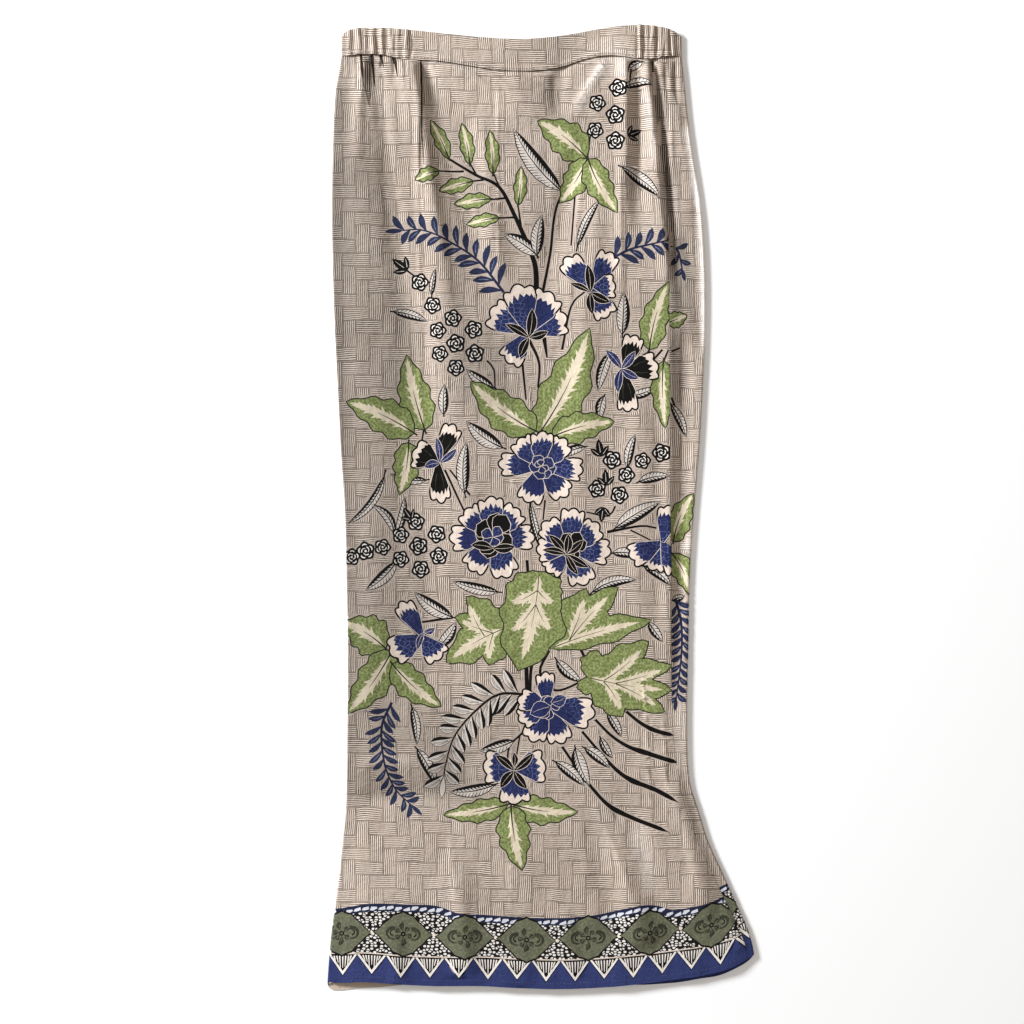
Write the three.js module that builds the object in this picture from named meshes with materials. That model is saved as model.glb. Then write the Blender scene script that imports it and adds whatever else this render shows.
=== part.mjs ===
// A long batik tube skirt with an elasticated waist, laid flat on its back.
// X runs across the skirt, +Y towards the waist and +Z up, out of the front. Millimetres.
// The tube is cut in two panels. The front panel turns round the left edge to a seam underneath.
// The back panel turns round the right edge, so a strip of it shows beside the right side seam.
// A flat front waistband is joined to an elastic one, which runs round both edges and the back.
import * as THREE from "three";

const { clamp, lerp, smoothstep } = THREE.MathUtils;

// ---- Driving sizes ----
const CLOTH = 1.2; // wall of a panel
const BAND = 1.6; // wall of the waistband, which is folded double
const SEAM_GAP = 0.3; // between two pieces that are sewn together
const EDGE_RADIUS = 1.9; // outer radius of the cloth where the tube folds at each side
const LOFT = 1.3; // how far the front stands above its folded edges, away from them
const LOFT_REACH = 24; // how far in from an edge it takes to rise that much
const LOWEST_TOP = 3.6; // no trough takes the front lower than this, clear of the back
const FOLD_START = 9; // folds die out this near a folded edge
const UNDER_LEFT = 18; // how far the front panel turns under at the left
const STEP = 0.5; // half step for measuring the slope of the cloth

// ---- The folded edges and the right side seam ----
// down: below the highest point of the waist. The rest are across from the centre line.
const SIDES = [
  { down: 0, left: -170, right: 170, seam: 152.5 },
  { down: 30, left: -170, right: 170, seam: 152.5 },
  { down: 49, left: -173, right: 172, seam: 152.5 },
  { down: 64, left: -175.5, right: 173.5, seam: 153 },
  { down: 94, left: -177.5, right: 176.5, seam: 154 },
  { down: 124, left: -178.5, right: 180.5, seam: 154.5 },
  { down: 184, left: -179.5, right: 189.5, seam: 156 },
  { down: 244, left: -178.5, right: 193.5, seam: 157 },
  { down: 304, left: -176.5, right: 193.5, seam: 157.5 },
  { down: 364, left: -173.5, right: 191, seam: 158 },
  { down: 424, left: -170.5, right: 187.5, seam: 158 },
  { down: 484, left: -166.5, right: 182.5, seam: 158.5 },
  { down: 544, left: -165, right: 178.5, seam: 159.5 },
  { down: 634, left: -163.5, right: 176.5, seam: 159.5 },
  { down: 709, left: -164, right: 175.5, seam: 161.5 },
  { down: 754, left: -164.5, right: 178, seam: 167.5 },
  { down: 784, left: -165.5, right: 187, seam: 174.5 },
  { down: 814, left: -168.5, right: 196.5, seam: 185.5 },
  { down: 844, left: -171.5, right: 210, seam: 199 },
  { down: 874, left: -175.5, right: 223.5, seam: 213.5 },
  { down: 904, left: -179.5, right: 236.5, seam: 228.5 },
  { down: 929, left: -182, right: 242.5, seam: 235.5 },
  { down: 964, left: -184.5, right: 243.5, seam: 236.5 },
];

// ---- The cut edges: how far down each lies, at places across from the centre line ----
const WAIST_TOP = [
  { x: -170, down: 13 },
  { x: -166.5, down: 7 },
  { x: -151.5, down: 3.2 },
  { x: -131.5, down: 3 },
  { x: -111.5, down: 4 },
  { x: -71.5, down: 8 },
  { x: -31.5, down: 12 },
  { x: 8.5, down: 14 },
  { x: 48.5, down: 11 },
  { x: 88.5, down: 4 },
  { x: 108.5, down: 1.2 },
  { x: 128.5, down: 0 },
  { x: 148.5, down: 2 },
  { x: 162, down: 6 },
  { x: 170, down: 12 },
];
const BAND_LOW = [
  { x: -170, down: 31 },
  { x: -153, down: 29.5 },
  { x: -131, down: 29.5 },
  { x: -111, down: 33.5 },
  { x: -97, down: 34.5 },
  { x: -71.5, down: 36 },
  { x: -45.5, down: 40 },
  { x: -17.5, down: 44.5 },
  { x: 14.5, down: 45.8 },
  { x: 36.5, down: 44.2 },
  { x: 54.5, down: 40.5 },
  { x: 71.5, down: 34.8 },
  { x: 86, down: 31.4 },
  { x: 100.5, down: 30.4 },
  { x: 125.5, down: 33 },
  { x: 140, down: 34 },
  { x: 155, down: 31 },
  { x: 170, down: 31 },
];
const BAND_LOW_BACK = [
  { x: -170, down: 31 },
  { x: 170, down: 31 },
];
const HEM_FRONT = [
  { x: -184.5, down: 953 },
  { x: -178, down: 956 },
  { x: -146.5, down: 955 },
  { x: -102.5, down: 958 },
  { x: -71.5, down: 959 },
  { x: -31.5, down: 959 },
  { x: 8.5, down: 961 },
  { x: 48.5, down: 962 },
  { x: 88.5, down: 960.5 },
  { x: 128.5, down: 957 },
  { x: 148.5, down: 954.5 },
  { x: 170.5, down: 951.5 },
  { x: 188.5, down: 949 },
  { x: 213.5, down: 943 },
  { x: 228.5, down: 936.5 },
  { x: 243.5, down: 927 },
];
const HEM_BACK = [
  { x: -184.5, down: 960 },
  { x: -178, down: 964 },
  { x: -151.5, down: 962 },
  { x: -131.5, down: 961 },
  { x: -102.5, down: 958.2 },
  { x: -70, down: 956 },
  { x: 68.5, down: 957 },
  { x: 128.5, down: 958.7 },
  { x: 148.5, down: 957.7 },
  { x: 168.5, down: 956 },
  { x: 188.5, down: 952.5 },
  { x: 208.5, down: 949 },
  { x: 228.5, down: 940 },
  { x: 238, down: 933.5 },
  { x: 243.5, down: 927 },
];

// ---- Folds and gathers of the front ----
// From (x, down) to (tox, todown), bowed sideways; wide and towide are half widths;
// high is its crest, or its depth where negative; it rises over one share of its length and falls after another.
const FOLDS = [
  // Gathers under the elastic at the left.
  { x: -160, down: 27, tox: -163, todown: 150, bow: 0, wide: 4.5, towide: 9, high: 3.2, rise: 0.16, fall: 0.3 },
  { x: -146, down: 26, tox: -129, todown: 230, bow: 0, wide: 5, towide: 11, high: -2.6, rise: 0.08, fall: 0.3 },
  { x: -136, down: 27, tox: -134, todown: 82, bow: 0, wide: 2.6, towide: 4, high: 2.2, rise: 0.2, fall: 0.4 },
  { x: -124, down: 28, tox: -66, todown: 400, bow: -6, wide: 6.5, towide: 18, high: 6, rise: 0.06, fall: 0.2 },
  { x: -113, down: 28, tox: -108, todown: 88, bow: 0, wide: 2.8, towide: 4, high: 1.8, rise: 0.2, fall: 0.4 },
  { x: -101, down: 31, tox: -58, todown: 190, bow: -3, wide: 6, towide: 13, high: -2.2, rise: 0.08, fall: 0.4 },
  { x: -91.5, down: 31, tox: -88, todown: 150, bow: 0, wide: 2.6, towide: 4.5, high: 2.6, rise: 0.1, fall: 0.3 },
  { x: -78, down: 36, tox: -16, todown: 250, bow: -4, wide: 9, towide: 16, high: 3.2, rise: 0.1, fall: 0.35 },
  // Drag lines and gathers at the right.
  { x: 92, down: 32, tox: 40, todown: 98, bow: -2, wide: 5, towide: 6, high: 3, rise: 0.14, fall: 0.5 },
  { x: 105, down: 30, tox: 104, todown: 225, bow: 0, wide: 7, towide: 13, high: 3.2, rise: 0.08, fall: 0.35 },
  { x: 122.5, down: 30, tox: 119, todown: 190, bow: -1, wide: 5, towide: 9, high: -3, rise: 0.06, fall: 0.35 },
  { x: 135.5, down: 31, tox: 150, todown: 260, bow: -2, wide: 5.5, towide: 8, high: 5.5, rise: 0.08, fall: 0.4 },
  { x: 148.5, down: 30, tox: 177, todown: 345, bow: -3, wide: 5, towide: 7, high: -3.2, rise: 0.05, fall: 0.65 },
  { x: 160.5, down: 30, tox: 189, todown: 345, bow: -4, wide: 5, towide: 6, high: 5, rise: 0.06, fall: 0.6 },
  // Long soft rolls down the body.
  { x: -58, down: 330, tox: -38, todown: 640, bow: 3, wide: 18, towide: 22, high: 2, rise: 0.35, fall: 0.5 },
  { x: 66, down: 250, tox: 46, todown: 610, bow: -4, wide: 16, towide: 20, high: 2.2, rise: 0.3, fall: 0.5 },
  { x: 128, down: 300, tox: 124, todown: 690, bow: 4, wide: 14, towide: 18, high: 2.4, rise: 0.3, fall: 0.6 },
  { x: -128, down: 300, tox: -130, todown: 640, bow: -3, wide: 16, towide: 18, high: 1.8, rise: 0.3, fall: 0.6 },
  // Where the hem kicks out to the right.
  { x: 84, down: 745, tox: 134, todown: 925, bow: 3, wide: 11, towide: 16, high: 5, rise: 0.5, fall: 0.9 },
  { x: 66, down: 760, tox: 104, todown: 920, bow: 3, wide: 9, towide: 12, high: -1.6, rise: 0.3, fall: 0.9 },
  { x: 140, down: 700, tox: 196, todown: 905, bow: 6, wide: 9, towide: 14, high: 4.2, rise: 0.4, fall: 0.8 },
  { x: -58, down: 790, tox: -50, todown: 950, bow: 0, wide: 9, towide: 13, high: 4, rise: 0.6, fall: 0.98 },
  { x: -160, down: 771, tox: -70, todown: 768, bow: 4, wide: 6, towide: 9, high: 1.8, rise: 0.2, fall: 0.5 },
];

// ---- Puckers of the elastic, as crests of one wave in each stretched length ----
const PUCKERS = [
  { from: -166, to: -100.5, crests: 8, high: 1.1 },
  { from: 124.5, to: 166, crests: 6, high: 1.3 },
];
const BAND_LEVEL = 5.3; // top of the waistband between its puckers
const FRONT_BAND = { from: -100, to: 124.5 }; // the flat part of the waistband

// ---- Spacing of the columns and rows of points ----
const EDGE_STEPS = 5; // round each folded edge
const PANEL_ROWS = [0, 0.012, 0.03, 0.055, 0.085, 0.12, 0.16, 0.2, 0.25, 0.3, 0.36, 0.43, 0.5, 0.57, 0.64, 0.7,
  0.745, 0.78, 0.81, 0.84, 0.87, 0.9, 0.93, 0.96, 0.98, 1];
const BAND_ROWS = [0, 0.12, 0.5, 0.88, 1];

// ---- Curves through the tables ----
// The value of one column of a table at a place along another, on a smooth curve through its rows.
function through(rows, along, column, at) {
  let i = 0;
  while (i < rows.length - 2 && rows[i + 1][along] < at) i += 1;
  const slope = (k) => {
    const a = rows[Math.max(k - 1, 0)];
    const b = rows[Math.min(k + 1, rows.length - 1)];
    return (b[column] - a[column]) / (b[along] - a[along]);
  };
  const [p, q] = [rows[i], rows[i + 1]];
  const width = q[along] - p[along];
  const t = clamp((at - p[along]) / width, 0, 1);
  const [t2, t3] = [t * t, t * t * t];
  return (2 * t3 - 3 * t2 + 1) * p[column] + (3 * t2 - 2 * t3) * q[column]
    + width * ((t3 - 2 * t2 + t) * slope(i) + (t3 - t2) * slope(i + 1));
}

const side = (column, down) => through(SIDES, "down", column, down);
const cutEdge = (table, x) => through(table, "x", "down", x);

// ---- The height of the top layer ----
function foldHeight(fold, x, down) {
  const along = new THREE.Vector2(fold.tox - fold.x, fold.todown - fold.down);
  const length = along.length();
  along.divideScalar(length);
  const from = new THREE.Vector2(x - fold.x, down - fold.down);
  const t = from.dot(along) / length;
  if (t <= 0 || t >= 1) return 0;
  const off = from.cross(along) - fold.bow * 4 * t * (1 - t);
  const wide = lerp(fold.wide, fold.towide, t);
  const swell = smoothstep(t, 0, fold.rise) * (1 - smoothstep(t, fold.fall, 1));
  return fold.high * swell * Math.exp(-((off / wide) ** 2));
}

// Distance from the nearer folded edge, measured from where the edge's curve ends.
function fromEdge(x, down) {
  return Math.min(x - side("left", down), side("right", down) - x) - EDGE_RADIUS;
}

function panelTop(x, down) {
  const inset = fromEdge(x, down);
  const folds = FOLDS.reduce((sum, fold) => sum + foldHeight(fold, x, down), 0);
  const level = 2 * EDGE_RADIUS + LOFT * smoothstep(inset, 0, LOFT_REACH);
  const height = level + folds * smoothstep(inset, 0, FOLD_START);
  const spare = height - LOWEST_TOP;
  return LOWEST_TOP + (spare + Math.sqrt(spare * spare + 0.16)) / 2;
}

function bandTop(x, down) {
  const inset = fromEdge(x, down);
  const level = lerp(2 * EDGE_RADIUS, BAND_LEVEL, smoothstep(inset, 0, LOFT_REACH / 2));
  const puckers = PUCKERS.reduce((sum, p) => {
    if (x < p.from || x > p.to) return sum;
    const share = (x - p.from) / (p.to - p.from);
    return sum + p.high * (1 - Math.cos(share * p.crests * 2 * Math.PI)) / 2;
  }, 0);
  return level + puckers * smoothstep(inset, 0, FOLD_START);
}

// ---- Points of the outer surface, each with the direction that faces out of the cloth ----
const point = (x, down, z, out) => ({ at: new THREE.Vector3(x, -down, z), out: out.normalize() });

function onTop(x, down, top) {
  const slopeX = (top(x + STEP, down) - top(x - STEP, down)) / (2 * STEP);
  const slopeDown = (top(x, down + STEP) - top(x, down - STEP)) / (2 * STEP);
  return point(x, down, top(x, down), new THREE.Vector3(-slopeX, slopeDown, 1));
}

// A point round a folded edge. turn is 90 degrees on top, 0 at the outermost line and -90 underneath.
function onEdge(name, down, turn) {
  const outward = name === "left" ? -1 : 1;
  const angle = THREE.MathUtils.degToRad(turn);
  const x = side(name, down) - outward * EDGE_RADIUS * (1 - Math.cos(angle));
  const z = EDGE_RADIUS * (1 + Math.sin(angle));
  return point(x, down, z, new THREE.Vector3(outward * Math.cos(angle), 0, Math.sin(angle)));
}

const underneath = (x, down) => point(x, down, 0, new THREE.Vector3(0, 0, -1));

// Even shares from 0 to 1 in that many steps.
const shares = (steps) => Array.from({ length: steps + 1 }, (_, i) => i / steps);

// Shares from 0 to 1, each stretch in steps of its own number.
function stretches(table) {
  const list = [0];
  table.forEach(({ to, steps }) => {
    const from = list[list.length - 1];
    for (let i = 1; i <= steps; i += 1) list.push(lerp(from, to, i / steps));
  });
  return list;
}

// ---- Columns: each gives the point at a share v of the way down, between two cut edges ----
// Where a line of the cloth, which lies at xAt(down), meets a cut edge. under is 0 on top and 1 underneath.
function meets(edge, xAt, under) {
  let down = edge.front[0].down;
  for (let i = 0; i < 3; i += 1) {
    const x = xAt(down);
    down = lerp(cutEdge(edge.front, x), cutEdge(edge.back, x), under);
  }
  return down;
}

function downAt(edges, xAt, under, v) {
  return lerp(meets(edges.upper, xAt, under) + edges.upper.gap, meets(edges.lower, xAt, under), v);
}

// Columns on the top layer and underneath. xAt(share, down) says where each share of them lies.
function topColumns(list, top, edges, xAt) {
  return list.map((share) => (v) => {
    const down = downAt(edges, (at) => xAt(share, at), 0, v);
    return onTop(xAt(share, down), down, top);
  });
}

function underColumns(list, edges, xAt) {
  return list.map((share) => (v) => {
    const down = downAt(edges, (at) => xAt(share, at), 1, v);
    return underneath(xAt(share, down), down);
  });
}

function edgeColumns(name, edges, fromTurn, toTurn) {
  return shares(EDGE_STEPS).slice(1, -1).map((share) => (v) => {
    const turn = lerp(fromTurn, toTurn, share);
    const down = downAt(edges, (at) => onEdge(name, at, turn).at.x, (90 - turn) / 180, v);
    return onEdge(name, down, turn);
  });
}

// ---- A closed wall from rows and columns of outer points ----
function wall(columns, rows, thickness, flat) {
  const outer = rows.map((v) => columns.map((column) => column(v)));
  // Ends that meet another piece are cut square, so that the gap between them stays even.
  if (flat.top) outer[0].forEach((p) => p.out.setY(0).normalize());
  if (flat.low) outer[outer.length - 1].forEach((p) => p.out.setY(0).normalize());
  if (flat.sides) outer.forEach((row) => [row[0], row[row.length - 1]].forEach((p) => p.out.setX(0).normalize()));
  const [down, across] = [rows.length, columns.length];
  const positions = [];
  outer.flat().forEach((p) => positions.push(...p.at.toArray()));
  outer.flat().forEach((p) => positions.push(...p.at.clone().addScaledVector(p.out, -thickness).toArray()));
  const index = [];
  const inner = down * across;
  const quad = (a, b, c, d) => index.push(a, b, c, a, c, d);
  for (let i = 0; i < down - 1; i += 1) {
    for (let j = 0; j < across - 1; j += 1) {
      const [a, b] = [i * across + j, i * across + j + 1];
      const [c, d] = [b + across, a + across];
      quad(a, d, c, b);
      quad(inner + a, inner + b, inner + c, inner + d);
    }
    const [start, next] = [i * across, (i + 1) * across];
    const [end, last] = [start + across - 1, next + across - 1];
    quad(start, inner + start, inner + next, next);
    quad(end, last, inner + last, inner + end);
  }
  for (let j = 0; j < across - 1; j += 1) {
    quad(j, j + 1, inner + j + 1, inner + j);
    const low = (down - 1) * across + j;
    quad(low, inner + low, inner + low + 1, low + 1);
  }
  const geometry = new THREE.BufferGeometry();
  geometry.setAttribute("position", new THREE.Float32BufferAttribute(positions, 3));
  geometry.setIndex(index);
  geometry.computeVertexNormals();
  return geometry;
}

// ---- The panels ----
const PANEL_EDGES = {
  upper: { front: BAND_LOW, back: BAND_LOW_BACK, gap: SEAM_GAP },
  lower: { front: HEM_FRONT, back: HEM_BACK },
};
const FRONT_COLUMNS = [{ to: 0.27, steps: 24 }, { to: 0.78, steps: 15 }, { to: 1, steps: 16 }];
const BACK_COLUMNS = [{ to: 0.1, steps: 1 }, { to: 0.92, steps: 7 }, { to: 1, steps: 1 }];
const STRIP_STEPS = 6; // across the strip of the back panel that shows on the front

function frontPanel() {
  const under = (share, down) => side("left", down) + lerp(EDGE_RADIUS, UNDER_LEFT, share);
  const top = (share, down) => lerp(side("left", down) + EDGE_RADIUS, side("seam", down) - SEAM_GAP / 2, share);
  const columns = [
    ...underColumns([1, 0.45, 0], PANEL_EDGES, under),
    ...edgeColumns("left", PANEL_EDGES, -90, 90),
    ...topColumns(stretches(FRONT_COLUMNS), panelTop, PANEL_EDGES, top),
  ];
  return wall(columns, PANEL_ROWS, CLOTH, { top: true });
}

function backPanel() {
  const strip = (share, down) => lerp(side("seam", down) + SEAM_GAP / 2, side("right", down) - EDGE_RADIUS, share);
  const under = (share, down) => lerp(
    side("right", down) - EDGE_RADIUS,
    side("left", down) + UNDER_LEFT + SEAM_GAP,
    share,
  );
  const columns = [
    ...topColumns(shares(STRIP_STEPS), panelTop, PANEL_EDGES, strip),
    ...edgeColumns("right", PANEL_EDGES, 90, -90),
    ...underColumns(stretches(BACK_COLUMNS), PANEL_EDGES, under),
  ];
  return wall(columns, PANEL_ROWS, CLOTH, { top: true });
}

// ---- The waistband ----
const BAND_EDGES = {
  upper: { front: WAIST_TOP, back: WAIST_TOP, gap: 0 },
  lower: { front: BAND_LOW, back: BAND_LOW_BACK },
};
const BAND_STEPS = { front: 26, left: 38, right: 28, under: 14 };
const SQUARE_ENDS = { top: true, low: true, sides: true };

const bandColumns = (from, to, steps) => topColumns(
  shares(steps),
  bandTop,
  BAND_EDGES,
  (share) => lerp(from, to, share),
);

function frontWaistband() {
  return wall(bandColumns(FRONT_BAND.from, FRONT_BAND.to, BAND_STEPS.front), BAND_ROWS, BAND, SQUARE_ENDS);
}

function elasticWaistband() {
  const [left, right] = [SIDES[0].left + EDGE_RADIUS, SIDES[0].right - EDGE_RADIUS];
  const columns = [
    ...bandColumns(FRONT_BAND.to + SEAM_GAP, right, BAND_STEPS.right),
    ...edgeColumns("right", BAND_EDGES, 90, -90),
    ...underColumns(shares(BAND_STEPS.under), BAND_EDGES, (share) => lerp(right, left, share)),
    ...edgeColumns("left", BAND_EDGES, -90, 90),
    ...bandColumns(left, FRONT_BAND.from - SEAM_GAP, BAND_STEPS.left),
  ];
  return wall(columns, BAND_ROWS, BAND, SQUARE_ENDS);
}

// ---- Materials ----
const cotton = (color) => new THREE.MeshStandardMaterial({ color, roughness: 0.85, metalness: 0 });
const printedCotton = cotton(0xb7a693);
const bandCotton = cotton(0xbcab98);

// ---- The skirt, with its origin under the middle of its box ----
const skirt = new THREE.Group();
const addPiece = (name, geometry, material) => {
  const mesh = new THREE.Mesh(geometry, material);
  mesh.name = name;
  skirt.add(mesh);
};
addPiece("front_panel", frontPanel(), printedCotton);
addPiece("back_panel", backPanel(), printedCotton);
addPiece("waistband_front", frontWaistband(), bandCotton);
addPiece("waistband_elastic", elasticWaistband(), bandCotton);

const middle = new THREE.Box3().setFromObject(skirt).getCenter(new THREE.Vector3());
skirt.position.set(-middle.x, -middle.y, 0);

export default skirt;
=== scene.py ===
# %% [markdown]
# # A batik tube skirt, laid flat
# The frame holds four plain solids: the two panels of a tube and its two stretches of waistband.
# This lesson dresses them in printed cotton. Each piece becomes a thin shell on its solid's form,
# cut to the outline of every printed shape, so that the print is dyed into the cloth itself.
# Sizes are millimetres on the cloth, measured across from the waist's centre line and down from
# the highest point of the waist. They turn into metres only where a mesh is made.

# %% Load the frame
import math

import bpy
import numpy as np
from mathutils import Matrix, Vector
from mathutils.geometry import delaunay_2d_cdt


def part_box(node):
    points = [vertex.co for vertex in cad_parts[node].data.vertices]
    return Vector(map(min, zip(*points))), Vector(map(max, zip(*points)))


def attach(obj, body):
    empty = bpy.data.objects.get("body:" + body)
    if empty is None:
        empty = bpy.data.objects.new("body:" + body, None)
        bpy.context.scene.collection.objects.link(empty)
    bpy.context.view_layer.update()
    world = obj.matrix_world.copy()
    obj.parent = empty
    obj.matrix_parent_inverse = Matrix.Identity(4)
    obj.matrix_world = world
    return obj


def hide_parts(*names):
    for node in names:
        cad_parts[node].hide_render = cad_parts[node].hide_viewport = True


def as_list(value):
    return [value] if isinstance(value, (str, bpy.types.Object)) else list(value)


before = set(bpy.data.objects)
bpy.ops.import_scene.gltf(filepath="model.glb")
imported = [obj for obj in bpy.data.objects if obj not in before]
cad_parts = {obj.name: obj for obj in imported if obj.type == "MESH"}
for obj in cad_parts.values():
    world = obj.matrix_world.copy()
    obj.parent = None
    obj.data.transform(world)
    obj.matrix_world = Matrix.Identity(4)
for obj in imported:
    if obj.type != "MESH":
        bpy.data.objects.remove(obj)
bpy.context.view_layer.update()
METRES = 0.001
FLAT_BAND_LEFT = -100.0  # where the flat waistband starts, left of the centre line
CENTRE_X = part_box("waistband_front")[0].x - FLAT_BAND_LEFT * METRES
WAIST_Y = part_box("waistband_elastic")[1].y

# %% [markdown]
# ## The camera
# A garment laid out for sale is seen from straight above, a little off its middle, because the
# hem kicks out to one side. A long lens keeps the sides of the cloth from leaning outwards.

# %% Look straight down
VIEW_WIDTH = 1.024  # metres across the picture, at the cloth
CAMERA_HEIGHT = 2.4
SENSOR = 36.0  # mm, Blender's own sensor width
VIEW_ACROSS, VIEW_DOWN = 0.5, 486.0  # the middle of the picture, on the cloth


def add_object(name, data):
    """An object that shows the data, in the scene."""
    made = bpy.data.objects.new(name, data)
    bpy.context.scene.collection.objects.link(made)
    return made


lens = bpy.data.cameras.new("camera")
lens.sensor_width = SENSOR
lens.lens = SENSOR * CAMERA_HEIGHT / VIEW_WIDTH
camera = add_object("camera", lens)
camera.location = (CENTRE_X + VIEW_ACROSS * METRES, WAIST_Y - VIEW_DOWN * METRES, CAMERA_HEIGHT)
bpy.context.scene.camera = camera
print("lens:", round(lens.lens, 2), "mm")

# %% [markdown]
# ## The cut of the skirt
# Short tables give the folded edges, the side seam, the cut edges and the folds, a row for each
# measured place. A smooth curve runs through the rows. The solids follow the same tables, so the
# cloth lands on them.

# %% Tables and smooth curves through them
def table(columns, *rows):
    """A table with named columns."""
    values = np.array(rows, float).T
    return dict(zip(columns.split(), values))


def through(rows, along, column, at):
    """The value of a column at places along another, on a smooth curve through the rows."""
    a, c = rows[along], rows[column]
    last = len(a) - 1
    ahead = np.minimum(np.arange(last + 1) + 1, last)
    behind = np.maximum(np.arange(last + 1) - 1, 0)
    slope = (c[ahead] - c[behind]) / (a[ahead] - a[behind])
    i = np.clip(np.searchsorted(a, at, side="right") - 1, 0, last - 1)
    width = a[i + 1] - a[i]
    t = np.clip((at - a[i]) / width, 0, 1)
    curve = (2 * t**3 - 3 * t**2 + 1) * c[i] + (3 * t**2 - 2 * t**3) * c[i + 1]
    return curve + width * ((t**3 - 2 * t**2 + t) * slope[i] + (t**3 - t**2) * slope[i + 1])


def ease(at, start, end):
    """0 before start, 1 after end, and a soft step between."""
    t = np.clip((at - start) / (end - start), 0, 1)
    return t * t * (3 - 2 * t)


def blend(a, b, share):
    return a + (b - a) * share


print("a soft step, a quarter of the way:", round(ease(0.25, 0, 1), 3))

# %% The folded edges, the right side seam and the cut edges
SIDES = table(
    "down left right seam",
    (0, -170, 170, 152.5), (30, -170, 170, 152.5), (49, -173, 172, 152.5), (64, -175.5, 173.5, 153),
    (94, -177.5, 176.5, 154), (124, -178.5, 180.5, 154.5), (184, -179.5, 189.5, 156),
    (244, -178.5, 193.5, 157), (304, -176.5, 193.5, 157.5), (364, -173.5, 191, 158),
    (424, -170.5, 187.5, 158), (484, -166.5, 182.5, 158.5), (544, -165, 178.5, 159.5),
    (634, -163.5, 176.5, 159.5), (709, -164, 175.5, 161.5), (754, -164.5, 178, 167.5),
    (784, -165.5, 187, 174.5), (814, -168.5, 196.5, 185.5), (844, -171.5, 210, 199),
    (874, -175.5, 223.5, 213.5), (904, -179.5, 236.5, 228.5), (929, -182, 242.5, 235.5),
    (964, -184.5, 243.5, 236.5),
)
WAIST_TOP = table(
    "x down",
    (-170, 13), (-166.5, 7), (-151.5, 3.2), (-131.5, 3), (-111.5, 4), (-71.5, 8), (-31.5, 12), (8.5, 14),
    (48.5, 11), (88.5, 4), (108.5, 1.2), (128.5, 0), (148.5, 2), (162, 6), (170, 12),
)
BAND_LOW = table(
    "x down",
    (-170, 31), (-153, 29.5), (-131, 29.5), (-111, 33.5), (-97, 34.5), (-71.5, 36), (-45.5, 40),
    (-17.5, 44.5), (14.5, 45.8), (36.5, 44.2), (54.5, 40.5), (71.5, 34.8), (86, 31.4), (100.5, 30.4),
    (125.5, 33), (140, 34), (155, 31), (170, 31),
)
BAND_LOW_BACK = table("x down", (-170, 31), (170, 31))
HEM_FRONT = table(
    "x down",
    (-184.5, 953), (-178, 956), (-146.5, 955), (-102.5, 958), (-71.5, 959), (-31.5, 959), (8.5, 961),
    (48.5, 962), (88.5, 960.5), (128.5, 957), (148.5, 954.5), (170.5, 951.5), (188.5, 949),
    (213.5, 943), (228.5, 936.5), (243.5, 927),
)
HEM_BACK = table(
    "x down",
    (-184.5, 960), (-178, 964), (-151.5, 962), (-131.5, 961), (-102.5, 958.2), (-70, 956), (68.5, 957),
    (128.5, 958.7), (148.5, 957.7), (168.5, 956), (188.5, 952.5), (208.5, 949), (228.5, 940),
    (238, 933.5), (243.5, 927),
)


def side(name, down):
    return through(SIDES, "down", name, down)


def cut_edge(edge, x):
    return through(edge, "x", "down", x)


print("hem:", round(float(side("right", 929.0) - side("left", 929.0))), "mm across")

# %% [markdown]
# ## Folds
# A fold is a long soft ridge or trough. Each row says where its line starts and ends, how far it
# bows, its half width at both ends and its height, which is negative for a trough. Then come the
# share of its length over which it rises, the place where it starts to die out, and its lean,
# which makes one side steep. The large folds are those of the solids. The creases are finer:
# puckers below the elastic and ironed lines.

# %% The large folds and the finer creases
def fold_table(*rows):
    """A table of folds. A row that leaves out its lean at the end has none."""
    columns = "x down tox todown bow wide towide high rise fall lean"
    return table(columns, *(row + (0,) * (len(columns.split()) - len(row)) for row in rows))


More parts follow.
